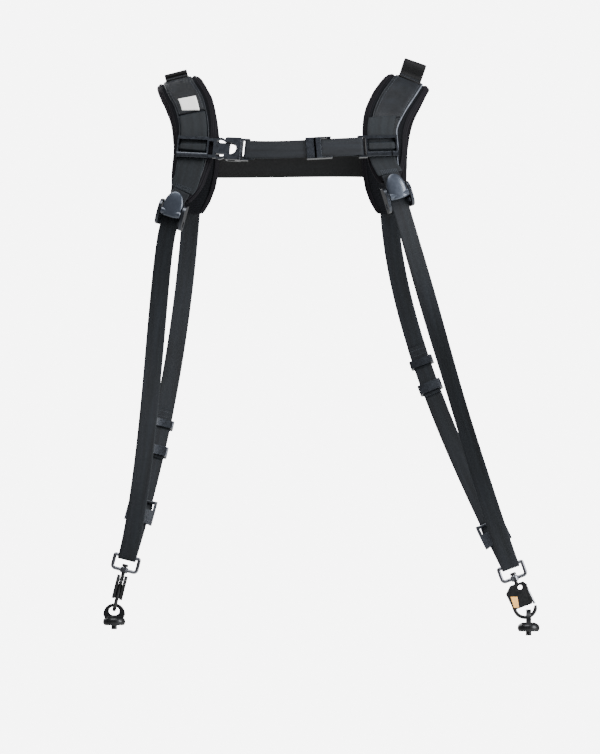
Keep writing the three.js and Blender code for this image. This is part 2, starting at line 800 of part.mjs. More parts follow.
function hookBody(bossFrom) {
  const headEnd = bossFrom - pivotGap;
  const head = bar('y', studHeadRadius, headEnd - studHeadThick, headEnd, 0, 0, 0, 14);
  const stud = bar('y', studRadius, headEnd - 1, coverTop + wireRadius + 1, 0, 0, 0, 12);
  return fused([head, stud, hookWire(wireRadius)]);
}

// The gate runs from its pin at the cover's shoulder out to the nose of the bow.
const bowTurn = Math.PI * 0.94;
const gateOut = bowRadius - gateInset;
const gateTop = coverTop + 5.5;
const gateDown = hookLength - bowRadius + bowRadius * Math.sin(bowTurn) - gateTop;
const gateLean = Math.atan2(gateInset - bowRadius * (1 + Math.cos(bowTurn)), gateDown);
const gateLength = gateDown / Math.cos(gateLean) - gateRadius - pivotGap;

// Cover: two plates joined by a web inside the wire, with a small eye through its top.
function coverBody() {
  const [top, end] = [coverTop + gap + 0.5, coverTop + coverLength];
  const shoulder = top + 7;
  const right = gateOut + (end - gateTop) * Math.tan(gateLean) - gateRadius - pivotGap;
  const left = right - coverWidth;
  const outline = new THREE.Shape();
  outline.moveTo(-coverTopWidth / 2, top);
  outline.lineTo(coverTopWidth / 2, top);
  outline.lineTo(gateOut + gateRadius, gateTop - 1);
  outline.lineTo(gateOut + gateRadius, gateTop + 2);
  outline.lineTo(right, end - 1);
  outline.lineTo(right - 1, end);
  outline.lineTo(left + 2, end);
  outline.lineTo(left, shoulder);
  const eye = new THREE.Path();
  eye.absarc(2.2, top + 5, coverEye, 0, Math.PI * 2);
  outline.holes.push(eye);
  const inner = wireRadius + gap;
  const plates = [
    pushed(outline, inner, inner + coverPlate),
    pushed(outline, -inner - coverPlate, -inner),
  ];
  // The web ends where the gate's rod comes to when it's open.
  const open = (end - gateTop) * Math.tan(gateLean - radians(gateSwing));
  const web = box(
    [-bowRadius + wireRadius + 0.8, shoulder + 3, -inner - 1],
    [gateOut + open - gateRadius - pivotGap, end - 1, inner + 1],
  );
  const pin = bar('z', gatePin, -inner - 1, inner + 1, gateOut, gateTop, 0, 8);
  return fused([...plates, web, pin]);
}

// Gate: a rod that turns on the cover's pin. Its own origin is its pivot.
function gateBody() {
  const eye = bar('z', gateRadius + 0.6, -gateRadius, gateRadius, 0, 0, 0, 12);
  const rod = bar('y', gateRadius, 0.5, gateLength, 0, 0, 0, 10);
  const bore = bar('z', gatePin + pivotGap, -gateRadius - 1, gateRadius + 1, 0, 0, 0, 10);
  return fused([eye, rod], [bore]);
}

// Camera fastener: an arched lug on a disc, with a screw under it. It hangs on the bow wire,
// whose middle is at the origin; Y runs down and X along the wire.
function fastenerBody(tilt) {
  const bowRise = bowRadius - Math.sqrt(bowRadius ** 2 - (lugThick / 2 + 1) ** 2);
  const rise = wireRadius + pivotGap + bowRise + (lugThick / 2) * Math.tan(tilt);
  const top = -rise - lugCrown;
  const base = top + lugHeight;
  const half = lugWidth / 2;
  const foot = discRadius - 2;
  const outline = new THREE.Shape();
  outline.moveTo(foot, base + 1);
  outline.lineTo(half, top + half);
  outline.absarc(0, top + half, half, 0, -Math.PI, true);
  outline.lineTo(-foot, base + 1);
  const hole = new THREE.Path();
  const holeRound = lugHoleHeight / 2;
  const holeMiddle = -rise + holeRound;
  const holeSide = lugHoleWidth / 2 - holeRound;
  hole.moveTo(-holeSide, holeMiddle - holeRound);
  hole.lineTo(holeSide, holeMiddle - holeRound);
  hole.absarc(holeSide, holeMiddle, holeRound, -Math.PI / 2, Math.PI / 2);
  hole.lineTo(-holeSide, holeMiddle + holeRound);
  hole.absarc(-holeSide, holeMiddle, holeRound, Math.PI / 2, Math.PI * 1.5);
  outline.holes.push(hole);
  const lug = pushed(outline, -lugThick / 2, lugThick / 2, 5).rotateY(Math.PI / 2);
  const profile = [
    [0, base - 1.5],
    [discRadius - 5.5, base - 1.2],
    [discRadius - 2.5, base],
    [discRadius - 0.6, base + 1.9],
    [discRadius, base + 4],
    [discRadius, base + discThick - 2.5],
    [discRadius - 1.5, base + discThick],
    [screwRadius, base + discThick],
    [screwRadius, base + discThick + screwLength],
    [0, base + discThick + screwLength],
  ].map(([radius, height]) => new THREE.Vector2(radius, height));
  const disc = new THREE.LatheGeometry(profile, 18);
  return fused([lug, disc]);
}

function turned(frame, degrees) {
  const angle = radians(degrees);
  return {
    ...frame,
    A: frame.A.clone().applyAxisAngle(frame.T, angle),
    N: frame.N.clone().applyAxisAngle(frame.T, angle),
  };
}

function makeHook(side, hook) {
  const loop = swivelLoopBody();
  addMesh(`swivel_loop_${side.name}`, loop.body, 'steel', hook);
  const frame = turned(hook, side.hookTurn);
  addMesh(`hook_body_${side.name}`, hookBody(loop.bossFrom), 'black', frame);
  addMesh(`hook_cover_${side.name}`, coverBody(), 'black', frame);
  const pin = moved(frame, gateOut, gateTop, 0);
  const toNose = at(frame, Math.sin(gateLean), Math.cos(gateLean), 0).sub(frame.P);
  addMesh(`hook_gate_${side.name}`, gateBody(), 'silver', frameOf(pin.P, toNose, frame.N));
  const wire = at(frame, 0, hookLength, 0);
  const level = frame.A.clone().setZ(0);
  const tilt = frame.A.angleTo(level);
  const down = v(0, 0, -1);
  const hang = { P: wire, A: level.normalize(), T: down, N: level.clone().cross(down) };
  addMesh(`fastener_${side.name}`, fastenerBody(tilt), 'black', hang);
}

// Chest frames. Across (X) runs down, along (Y) to the wearer's right-hand side of the picture
// and out (Z) to the front; the middle of the frame lies on the rail's own underside.
function chestFrameOf(side, path) {
  const pad = path.frame(side.chestRow);
  const place = at(pad, railMiddle(side, side.chestRow), 0, railBase);
  return { P: place, T: pad.A, N: pad.N, A: pad.A.clone().cross(pad.N) };
}

const frameBarLow = webThick + gap;
const frameBarHigh = frameBarLow + frameThick;

function chestFrameBody() {
  const [x, y] = [frameHeight / 2, frameWidth / 2];
  const inner = y - frameSide;
  // The lower bar's outline lies across and out, and is pushed along the frame.
  const lowBar = pushed(roundedRectangle(frameLowBar, lowBarThick, 1.6), -y + 0.5, y - 0.5, 3)
    .applyMatrix4(new THREE.Matrix4().makeBasis(v(1, 0, 0), v(0, 0, 1), v(0, -1, 0)));
  return [
    box([-x, inner, 0], [x, y, frameBarHigh]),
    box([-x, -y, 0], [x, -inner, frameBarHigh]),
    box([-x, -y + 0.5, frameBarLow], [-x + frameTopBar, y - 0.5, frameBarHigh]),
    lowBar.translate(x - frameLowBar / 2, 0, frameBarLow + lowBarThick / 2),
    box([-frameMidBar / 2, -y + 0.5, 0], [frameMidBar / 2, y - 0.5, midBarThick]),
  ];
}

const chestBarHigh = frameBarHigh / 2;
const chestFrameEdge = frameWidth / 2;
const armInner = webWidth / 2 + gap;

// The male half: two arms to a neck, and from the neck a broad tongue between two bowed prongs.
function maleBody() {
  const start = chestFrameEdge - 0.5;
  const neck = chestFrameEdge + neckReach;
  const root = neck + neckLength;
  const mouth = chestFrameEdge + socketStart;
  const tip = chestFrameEdge + prongLength;
  const [low, high] = [chestBarHigh - prongThick / 2, chestBarHigh + prongThick / 2];
  const outer = socketWidth / 2 - 2;
  const inner = outer - prongWidth;
  const parts = [
    box([-outer - 0.5, neck, low], [outer + 0.5, root, high]),
    box(
      [-tongueWidth / 2, root - 0.5, chestBarHigh - tongueThick / 2],
      [tongueWidth / 2, mouth + notchDepth - tongueWidth / 2 - 2, chestBarHigh + tongueThick / 2],
    ),
  ];
  for (const turn of [-1, 1]) {
    const [near, far] = [turn * inner, turn * (outer + 0.5)];
    parts.push(box([Math.min(near, far), start, low], [Math.max(near, far), neck + 0.5, high]));
    const outline = new THREE.Shape();
    const middle = (root + mouth) / 2 - 1;
    outline.moveTo(turn * outer, root - 0.5);
    outline.quadraticCurveTo(turn * (outer + 2 * prongBow), middle, turn * outer, mouth - 0.5);
    outline.lineTo(turn * outer, tip);
    outline.lineTo(turn * inner, tip - 2);
    outline.lineTo(turn * inner, mouth);
    outline.quadraticCurveTo(turn * (inner + 2 * prongBow + 1), middle, turn * (inner + 0.3), root - 0.5);
    parts.push(pushed(outline, low, high, 5));
  }
  return fused([...chestFrameBody(), ...parts]);
}

// The female half: a shell open for the prongs, with a round-ended notch right through it.
function femaleBody() {
  const start = chestFrameEdge + socketStart;
  const end = start + socketLength;
  const half = socketWidth / 2;
  const [low, high] = [chestBarHigh - socketThick / 2, chestBarHigh + socketThick / 2];
  const room = prongThick / 2 + pivotGap;
  const outer = half - 2 + pivotGap;
  const barAt = chestFrameEdge + endBarReach;
  const shell = pushed(roundedRectangle(socketWidth, socketLength, 2.5), low, high, 3)
    .translate(0, (start + end) / 2, 0);
  const tunnel = box(
    [-outer, start - 1, chestBarHigh - room],
    [outer, chestFrameEdge + prongLength + pivotGap, chestBarHigh + room],
  );
  const windows = [-1, 1].map((turn) => box(
    [turn > 0 ? outer - 1 : -half - 1, start + 4, chestBarHigh - room],
    [turn > 0 ? half + 1 : -outer + 1, start + 12, chestBarHigh + room],
  ));
  const notchHalf = tongueWidth / 2 + gap;
  const notchOutline = new THREE.Shape();
  notchOutline.moveTo(-notchHalf, start - 1);
  notchOutline.lineTo(notchHalf, start - 1);
  notchOutline.absarc(0, start + notchDepth - notchHalf, notchHalf, 0, Math.PI);
  const notch = pushed(notchOutline, low - 1, high + 1);
  const ridge = box([-half + 1, end - 3.4, high - 0.5], [half - 1, end - 1.4, high + 0.8]);
  const arms = [-1, 1].map((turn) => {
    const near = turn * armInner;
    const far = turn * (armInner + armWidth);
    return box(
      [Math.min(near, far), end - 1, chestBarHigh - armThick / 2],
      [Math.max(near, far), barAt + barRadius, chestBarHigh + armThick / 2],
    );
  });
  const endBar = bar('x', barRadius, -armInner - 0.5, armInner + 0.5, 0, barAt, chestBarHigh);
  return fused([shell, ridge, ...arms, endBar], [tunnel, ...windows, notch]);
}

function rightFrameBody() {
  const start = chestFrameEdge;
  const barAt = -start - sideBarReach;
  const arms = [-1, 1].map((turn) => {
    const near = turn * armInner;
    const far = turn * (armInner + armWidth);
    return box(
      [Math.min(near, far), barAt - barRadius, chestBarHigh - armThick / 2],
      [Math.max(near, far), -start + 0.5, chestBarHigh + armThick / 2],
    );
  });
  const sideBar = bar('x', barRadius, -armInner - 0.5, armInner + 0.5, 0, barAt, chestBarHigh);
  // The lower bar is slit, so that the webbing can be slipped in.
  const slit = box(
    [frameHeight / 2 - frameLowBar - 1, slitReach, -1],
    [frameHeight / 2 + 1, slitReach + slitWidth, frameBarLow + lowBarThick + 1],
  );
  return fused([...chestFrameBody(), ...arms, sideBar], [slit]);
}

// Strap adjuster: two bars over the webbing and one under it, on two rails.
function glideBody() {
  const [x, y] = [glideWidth / 2, glideLength / 2];
  const inner = webWidth / 2 + gap;
  const above = webThick / 2 + gap;
  const rails = [-1, 1].map((turn) => box(
    [turn > 0 ? inner : -x, -y, -above - glideBar],
    [turn > 0 ? x : -inner, y, above + glideRail],
  ));
  const bars = [
    box([-x + 0.3, -y, above], [x - 0.3, -y + 9, above + glideRail]),
    box([-x + 0.3, -y + 10.5, above], [x - 0.3, -y + 16.5, above + glideBar]),
    box([-x + 0.3, y - 4, -above - glideBar], [x - 0.3, y, -above]),
  ];
  return fused([...rails, ...bars]);
}

function makeChest(paths) {
  const left = chestFrameOf(sides[0], paths[0]);
  const right = chestFrameOf(sides[1], paths[1]);
  addMesh('chest_slider_male', maleBody(), 'plastic', left);
  addMesh('buckle_female', femaleBody(), 'plastic', left);
  addMesh('chest_frame_right', rightFrameBody(), 'plastic', right);
  const from = moved(left, 0, chestFrameEdge + endBarReach, chestBarHigh);
  const to = moved(right, 0, -chestFrameEdge - sideBarReach, chestBarHigh);
  const reach = from.P.distanceTo(to.P) * 0.33;
  const curve = new THREE.CubicBezierCurve3(
    from.P,
    from.P.clone().addScaledVector(from.T, reach),
    to.P.clone().addScaledVector(to.T, -reach),
    to.P,
  );
  const run = bezierFrames(curve, 24, from.N, to.N, 0);
  const turns = 6;
  const wrapAt = (centre, sense) => Array.from({ length: turns + 1 }, (_, i) => {
    const angle = (Math.PI * i) / turns;
    const out = centre.N.clone().multiplyScalar(Math.cos(angle))
      .addScaledVector(centre.T, sense * Math.sin(angle));
    const along = centre.T.clone().multiplyScalar(Math.cos(angle))
      .addScaledVector(centre.N, -sense * Math.sin(angle));
    return frameOf(centre.P.clone().addScaledVector(out, wrapRadius), along, out);
  });
  const firstWrap = wrapAt(from, -1).reverse();
  const lastWrap = wrapAt(to, 1);
  const front = run.slice(1, -1).map((frame) => moved(frame, 0, 0, wrapRadius));
  const under = wrapRadius - webThick - gap;
  const glideShare = 0.63;
  const back = [];
  const backSteps = 9;
  const backEnd = glideShare + 0.13;
  for (let i = 1; i <= backSteps; i += 1) {
    const share = lerp(1, backEnd, i / backSteps);
    const out = lerp(-wrapRadius, under, THREE.MathUtils.smoothstep(i / 5, 0, 1));
    back.push(turnedOver(moved(frameAt(run, share), 0, 0, out)));
  }
  const sewn = moved(firstWrap[0], 0, -8, 0);
  addMesh('chest_strap', webbing([sewn, ...firstWrap, ...front, ...lastWrap, ...back]), 'webbing');
  addMesh('chest_adjuster', glideBody(), 'plastic', moved(frameAt(run, glideShare), 0, 0, wrapRadius));
}

// Plain strap across the back between the pads' rear halves.
function makeBackStrap(paths) {
  const row = 5;
  const out = tabEdge;
  const [left, right] = paths.map((path) => moved(path.frame(path.ridge + row), 0, 0, out));
  const acrossPad = (frame, place) => frameOf(at(frame, place, 0, 0), frame.A, frame.N);
  const overhang = padWidth / 2;
  const from = acrossPad(left, overhang);
  const to = acrossPad(right, -overhang);
  const reach = from.P.distanceTo(to.P) * 0.3;
  const run = bezierFrames(new THREE.CubicBezierCurve3(
    from.P,
    from.P.clone().addScaledVector(from.T, reach),
    to.P.clone().addScaledVector(to.T, -reach),
    to.P,
  ), 16, from.N, to.N, 0);
  const start = acrossPad(left, -overhang * 0.4);
  const end = acrossPad(right, overhang * 0.4);
  addMesh('back_strap', webbing([start, ...run, end], wideWebWidth), 'webbing');
}

const paths = sides.map(makePadPath);
sides.forEach((side, i) => {
  const path = paths[i];
  makePad(side, path);
  makeRail(side, path);
  makeTopLoop(side, path);
  const lockAt = lockPlace(path);
  const hook = hookFrameOf(side);
  const lock = lockFrameOf(side, lockAt, path.frame(0).N, hook);
  makeTab(side, path, lock);
  makeLock(`pad_lock_${side.name}`, lock, 0);
  makeStrap(side, path, lock, hook);
  makeHook(side, hook);
});
makePatch(paths[0], sides[0]);
makeChest(paths);
makeBackStrap(paths);

export default harness;
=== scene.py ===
# Dual camera harness: padded shoulder pieces, chest strap, and a camera strap on each side
# Sizes are in millimetres here, and go into the meshes as metres
import bpy
import bmesh
import json
import math
import numpy as np
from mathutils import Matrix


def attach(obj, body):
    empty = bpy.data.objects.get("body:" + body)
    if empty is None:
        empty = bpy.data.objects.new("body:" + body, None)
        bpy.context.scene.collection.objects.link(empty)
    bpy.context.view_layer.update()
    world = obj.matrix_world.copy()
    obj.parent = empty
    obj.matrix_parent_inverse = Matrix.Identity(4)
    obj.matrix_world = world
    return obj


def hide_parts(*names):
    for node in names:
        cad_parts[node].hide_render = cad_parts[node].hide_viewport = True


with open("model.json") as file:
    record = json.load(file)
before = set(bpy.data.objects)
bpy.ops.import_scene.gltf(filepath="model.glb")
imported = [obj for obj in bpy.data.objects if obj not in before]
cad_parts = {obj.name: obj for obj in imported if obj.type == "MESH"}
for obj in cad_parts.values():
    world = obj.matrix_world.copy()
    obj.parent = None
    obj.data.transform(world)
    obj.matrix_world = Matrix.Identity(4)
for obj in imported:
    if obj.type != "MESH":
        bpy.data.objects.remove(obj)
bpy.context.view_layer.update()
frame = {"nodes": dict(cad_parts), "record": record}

mm = 0.001
print("frame loaded:", len(frame["nodes"]), "nodes")

# Camera and studio

studio = {
    "distance": 12000.0,     # lens to the harness's front
    "aimX": 10.9, "aimZ": -315.5, "frontY": -45.0,
    "seenHeight": 820.0,     # what the picture's height takes in at the harness's front
    "floorZ": -1400.0,       # a wearer's shoulders stand this far above the floor
    "floorSize": 9000.0,
    "paleFloor": "#F7F7F5",
    "paleSky": "#FFFFFF",
    "softFill": 0.32,        # light from all around
    "whiteWall": 7.0,        # the lit white wall that the camera sees
}


def linear(hexColour):
    # sRGB hex to linear rgba
    parts = [int(hexColour[i:i + 2], 16) / 255 for i in (1, 3, 5)]
    return tuple(c / 12.92 if c <= 0.04045 else ((c + 0.055) / 1.055) ** 2.4 for c in parts) + (1.0,)


def addNode(tree, kind, settings=None, links=None):
    # settings: attribute or input name to value; links: input name to (node, output name)
    node = tree.nodes.new(kind)
    for key, value in (settings or {}).items():
        if key in node.inputs:
            node.inputs[key].default_value = value
        else:
            setattr(node, key, value)
    for key, (source, output) in (links or {}).items():
        tree.links.new(source.outputs[output], node.inputs[key])
    return node


def newMaterial(name, **shader):
    material = bpy.data.materials.new(name)
    material.use_nodes = True
    tree = material.node_tree
    tree.nodes.clear()
    out = addNode(tree, "ShaderNodeOutputMaterial")
    bsdf = addNode(tree, "ShaderNodeBsdfPrincipled", shader)
    tree.links.new(bsdf.outputs["BSDF"], out.inputs["Surface"])
    return material, tree, bsdf


def makeCamera():
    camera = bpy.data.objects.new("camera", bpy.data.cameras.new("camera"))
    bpy.context.scene.collection.objects.link(camera)
    camera.data.sensor_width = 36.0
    camera.data.lens = 36.0 * studio["distance"] / studio["seenHeight"]
    camera.data.clip_end = 200.0
    camera.location = np.array([studio["aimX"], studio["frontY"] - studio["distance"], studio["aimZ"]]) * mm
    camera.rotation_euler = (math.radians(90), 0, 0)
    bpy.context.scene.camera = camera


def addLamp(name, place, aim, size, power):
    lamp = bpy.data.lights.new(name, "AREA")
    lamp.shape = "RECTANGLE"
    lamp.size, lamp.size_y = size
    lamp.energy = power
    holder = bpy.data.objects.new(name, lamp)
    bpy.context.scene.collection.objects.link(holder)
    holder.location = place
    direction = np.array(aim) - np.array(place)
    yaw = math.atan2(direction[1], direction[0]) - math.pi / 2
    pitch = math.atan2(direction[2], math.hypot(direction[0], direction[1]))
    holder.rotation_euler = (pitch + math.pi / 2, 0, yaw)


def makeStudio():
    half = studio["floorSize"] / 2 * mm
    z = studio["floorZ"] * mm
    mesh = bpy.data.meshes.new("floor")
    mesh.from_pydata([(-half, -half, z), (half, -half, z), (half, half, z), (-half, half, z)], [],
                     [(0, 1, 2, 3)])
    floor = bpy.data.objects.new("floor", mesh)
    bpy.context.scene.collection.objects.link(floor)
    material, tree, bsdf = newMaterial("paleStudioPaper", **{
        "Base Color": linear(studio["paleFloor"]), "Roughness": 0.9})
    mesh.materials.append(material)
    world = bpy.data.worlds.new("studio")
    world.use_nodes = True
    tree = world.node_tree
    tree.nodes.clear()
    fill = addNode(tree, "ShaderNodeBackground", {
        "Color": linear(studio["paleSky"]), "Strength": studio["softFill"]})
    wall = addNode(tree, "ShaderNodeBackground", {
        "Color": linear(studio["paleSky"]), "Strength": studio["whiteWall"]})
    ray = addNode(tree, "ShaderNodeLightPath")
    pick = addNode(tree, "ShaderNodeMixShader", {}, {"Fac": (ray, "Is Camera Ray")})
    tree.links.new(fill.outputs["Background"], pick.inputs[1])
    tree.links.new(wall.outputs["Background"], pick.inputs[2])
    out = addNode(tree, "ShaderNodeOutputWorld", {}, {"Surface": (pick, "Shader")})
    bpy.context.scene.world = world
    aim = (0, 0, -0.1)
    addLamp("sideStrip", (2.2, -1.0, 0.2), aim, (1.2, 2.0), 130)
    addLamp("topBox", (-0.4, -1.1, 1.9), aim, (2.0, 1.4), 85)
    addLamp("rimBox", (-1.2, 1.6, 0.9), aim, (1.2, 1.2), 30)


makeCamera()
makeStudio()
print("camera and studio ready")

# Materials

looks = {}
waveUnit = 0.314         # a wave texture of this scale has one band per unit


def clothMaterial(name, roughness, sheen, sheenRoughness, tint, shine):
    material, tree, bsdf = newMaterial(name, **{
        "Roughness": roughness, "Sheen Weight": sheen, "Sheen Roughness": sheenRoughness,
        "Sheen Tint": linear(tint), "Specular IOR Level": shine})
    return material, tree, bsdf, addNode(tree, "ShaderNodeUVMap", {"uv_map": "weave"})


def addBands(tree, uv, direction, spacing, distortion, more=None):
    return addNode(tree, "ShaderNodeTexWave", {
        "bands_direction": direction, "Scale": waveUnit / spacing, "Distortion": distortion, **(more or {})},
        {"Vector": (uv, "UV")})


def addMath(tree, operation, *sources):
    # Sources: numbers, or pairs of a node and the name of its output
    node = addNode(tree, "ShaderNodeMath", {"operation": operation})
    for socket, source in zip(node.inputs, sources):
        if isinstance(source, tuple):
            tree.links.new(source[0].outputs[source[1]], socket)
        else:
            socket.default_value = source
    return node


def addRamp(tree, bsdf, source, dark, light, low=0.0, high=1.0):
    # The base colour goes from dark to light as the source rises
    ramp = addNode(tree, "ShaderNodeValToRGB", {}, {"Fac": source})
    stops = ramp.color_ramp.elements
    stops[0].position, stops[0].color = low, linear(dark)
    stops[1].position, stops[1].color = high, linear(light)
    tree.links.new(ramp.outputs["Color"], bsdf.inputs["Base Color"])


def addBump(tree, bsdf, source, strength, distance):
    bump = addNode(tree, "ShaderNodeBump", {"Strength": strength, "Distance": distance}, {"Height": source})
    tree.links.new(bump.outputs["Normal"], bsdf.inputs["Normal"])


def addWear(tree, bsdf, scale, detail, top, least, most):
    # Roughness that varies a little from place to place
    place = addNode(tree, "ShaderNodeTexCoord")
    scuffs = addNode(tree, "ShaderNodeTexNoise", {"Scale": scale, "Detail": detail},
                     {"Vector": (place, "Object")})
    spread = addNode(tree, "ShaderNodeMapRange", {
        "From Min": 0.3, "From Max": top, "To Min": least, "To Max": most}, {"Value": (scuffs, "Fac")})
    tree.links.new(spread.outputs["Result"], bsdf.inputs["Roughness"])
    return place


def webbingLook(name, dark, light, cordWidth, sheen):
    # Nylon webbing: woven flat from cords side by side, so it is matt with fine lengthwise ribs.
    # Real cords are 0.6 mm apart; they are drawn twice as far apart so that they show.
    material, tree, bsdf, uv = clothMaterial(name, 0.62, sheen, 0.4, "#8C97A6", 0.2)
    cords = addBands(tree, uv, "Y", cordWidth, 0.6, {"Detail": 1.0, "Detail Scale": 2.0})
    picks = addBands(tree, uv, "X", cordWidth * 0.9, 0.8, {"Detail": 1.0})
    weave = addMath(tree, "MULTIPLY", (cords, "Fac"), (picks, "Fac"))
    stretched = addNode(tree, "ShaderNodeMapping", {"Scale": (0.012, 0.16, 1.0)}, {"Vector": (uv, "UV")})
    wear = addNode(tree, "ShaderNodeTexNoise", {"Scale": 1.0, "Detail": 3.0},
                   {"Vector": (stretched, "Vector")})
    # The colour follows the weave's height: darker in the grooves between cords and lighter on their crowns,
    # which is painted shade and highlight; the stretched noise adds random tone.
    weaveShadeAndTone = addMath(tree, "MULTIPLY_ADD", (weave, "Value"), 0.55, (wear, "Fac"))
    addRamp(tree, bsdf, (weaveShadeAndTone, "Value"), dark, light, 0.35, 1.15)
    addBump(tree, bsdf, (weave, "Value"), 0.5, 0.0003)
    return material


def meshLook():
    # Spacer mesh over foam: knitted, with small round holes 2 mm apart, deep black; its colour darkens
    # towards each hole's middle, which is painted shade in the holes.
    material, tree, bsdf, uv = clothMaterial("spacerMesh", 0.85, 0.06, 0.5, "#70757F", 0.08)
    holesAndHoleShade = addNode(tree, "ShaderNodeTexVoronoi", {"Scale": 0.5, "Randomness": 0.25},
                    {"Vector": (uv, "UV")})
    # Painted shade: the colour is darker towards the middle of each hole.
    addRamp(tree, bsdf, (holesAndHoleShade, "Distance"), "#050607", "#131418", 0.2, 0.5)
    addBump(tree, bsdf, (holesAndHoleShade, "Distance"), 0.8, 0.0005)
    return material


def nylonLook(name, dark, light, threadSpacing, roughness=0.55):
    # Packcloth: plain-woven nylon, a little slick, so it has a soft sheen and broad soft creases.
    # Real threads are 0.4 mm apart; they are drawn twice as coarse so that they show.
    material, tree, bsdf, uv = clothMaterial(name, roughness, 0.12, 0.35, "#9AA2AE", 0.2)
    warp, weft = (addBands(tree, uv, direction, threadSpacing, 0.5) for direction in "XY")
    weave = addMath(tree, "ADD", (warp, "Fac"), (weft, "Fac"))
    shade = addNode(tree, "ShaderNodeTexNoise", {"Scale": 0.07, "Detail": 5.0, "Roughness": 0.6},
                    {"Vector": (uv, "UV")})
    addRamp(tree, bsdf, (shade, "Fac"), dark, light, 0.3, 0.75)
    addBump(tree, bsdf, (weave, "Value"), 0.35, 0.0002)
    return material


def tapeLook():
    # Grosgrain binding tape: matt, ribbed across, with a faint purple cast where light catches it.
    material, tree, bsdf, uv = clothMaterial("bindingTape", 0.7, 0.06, 0.4, "#8A8096", 0.1)
    ribs = addBands(tree, uv, "X", 1.3, 0.4)
    folds = addBands(tree, uv, "Y", 3.2, 1.5, {"Detail": 1.0})
    # Painted shade and highlight: the colour goes darker and lighter in wavy bands along the tape's folds.
    addRamp(tree, bsdf, (folds, "Fac"), "#060608", "#121016")
    addBump(tree, bsdf, (ribs, "Fac"), 0.5, 0.0003)
    return material


def plasticLook(name, base, roughness, grain, coat=0.0, shine=0.5):
    # Moulded acetal: dense and waxy, polished where fingers rub, with a very fine moulded grain.
    material, tree, bsdf = newMaterial(name, **{
        "Base Color": linear(base), "IOR": 1.48, "Specular IOR Level": shine, "Coat Weight": coat,
        "Coat Roughness": 0.15, "Specular Tint": linear("#C2CEE2")})
    place = addWear(tree, bsdf, 260.0, 3.0, 0.7, roughness - 0.06, roughness + 0.1)
    pits = addNode(tree, "ShaderNodeTexNoise", {"Scale": 1000.0 / grain, "Detail": 2.0},
                   {"Vector": (place, "Object")})
    addBump(tree, bsdf, (pits, "Fac"), 0.12, 0.0001)
    return material


def metalLook(name, base, metallic, roughness, grain):
    # Plated or coated metal: the base shows through as a colour, wear shows as uneven gloss.
    material, tree, bsdf = newMaterial(name, **{"Base Color": linear(base), "Metallic": metallic})
    addWear(tree, bsdf, 1000.0 / grain, 4.0, 0.75, roughness * 0.7, roughness * 1.5)
    return material


def makeLooks():
    looks["webbing"] = webbingLook("nylonWebbing", "#0A0C0F", "#1D2127", 1.2, 0.15)
    looks["wideWebbing"] = webbingLook("loopWebbing", "#040405", "#0B0C0E", 1.2, 0.05)
    looks["rail"] = webbingLook("railWebbing", "#0C0F12", "#1D2227", 1.4, 0.15)
    looks["mesh"] = meshLook()
    looks["panel"] = nylonLook("wovenPackcloth", "#0B0D10", "#1A1D22", 0.8)
    looks["binding"] = tapeLook()
    looks["piping"] = nylonLook("pipingTape", "#141619", "#2A2D33", 0.9, 0.4)
    # A paler copy of the piping for the right pad's outer edge: a painted highlight, where light from the
    # right catches it.
    looks["pipingPaintedHighlight"] = nylonLook("pipingTapePaintedHighlight", "#4A4E56", "#7C818B", 0.9, 0.4)
    looks["label"] = nylonLook("wovenLabel", "#F2F2F0", "#FAFAF9", 0.7, 0.7)
    looks["thread"] = nylonLook("sewingThread", "#1C1F24", "#4A4F58", 0.3, 0.4)
    looks["plastic"] = plasticLook("mouldedAcetal", "#0C0D10", 0.3, 0.35, 0.4, 0.6)
    # The levers' base is lighter and bluer than the other moulded plastic: painted sheen, standing in for the
    # pale reflection of a bright light; their higher shine is real gloss.
    looks["lever"] = plasticLook("leverAcetalPaintedSheen", "#262A32", 0.34, 0.5, 0.3, 0.9)
    looks["loop"] = metalLook("blackNickelWire", "#66686E", 1.0, 0.18, 3.0)
    looks["gate"] = metalLook("brightSteelRod", "#8E9196", 1.0, 0.2, 2.0)
    looks["hook"] = metalLook("satinCoatedZinc", "#17181A", 0.35, 0.36, 2.5)
    looks["fastener"] = metalLook("blackOxideSteel", "#1D1E20", 0.6, 0.32, 2.0)
    looks["mark"] = plasticLook("orangeEnamel", "#FFC066", 0.35, 0.6)


makeLooks()
print("materials ready:", len(looks))

# Frames: arrays of places P with directions A across, T along and N outwards

gap = 0.35
webWidth, webThick, wideWebWidth = 20.0, 1.5, 25.0
pad = {
    "width": 50.0, "thick": 9.0, "edge": 5.0, "spread": 122.0, "behind": 80.0, "rearDrop": 139.5,
    "panelThick": 1.2, "panelShare": 0.6, "railWidth": 29.0, "tabLength": 8.7, "loopLeg": 9.0,
    "seamFade": 18.0,
}
# drop, out, fore, wide, lean: the same sections as the solid pads have
leftPadRows = np.array([
    [1.0, 0.984, 1.0, 0.46, 14], [0.941, 0.947, 0.986, 0.58, 14], [0.864, 0.914, 0.962, 0.72, 12],
    [0.749, 0.885, 0.918, 0.8, 10], [0.674, 0.869, 0.89, 0.84, 10], [0.577, 0.852, 0.849, 0.89, 10],
    [0.473, 0.848, 0.8, 0.94, 10], [0.356, 0.852, 0.705, 0.98, 12], [0.205, 0.889, 0.52, 1.0, 14],
    [0.088, 0.955, 0.3, 0.98, 14], [0.025, 0.988, 0.15, 0.95, 14], [0, 1.0, 0, 0.92, 14],
])
rightPadRows = np.array([
    [1.0, 0.898, 1.0, 0.46, 14], [0.941, 0.877, 0.98, 0.6, 14], [0.862, 0.865, 0.954, 0.74, 12],
    [0.754, 0.859, 0.914, 0.86, 10], [0.655, 0.852, 0.876, 0.92, 10], [0.537, 0.844, 0.824, 0.96, 10],
    [0.458, 0.848, 0.771, 0.98, 12], [0.35, 0.869, 0.679, 1.0, 14], [0.202, 0.928, 0.486, 1.0, 17],
    [0.064, 1.012, 0.25, 0.98, 20], [0, 1.057, 0, 0.94, 20],
])
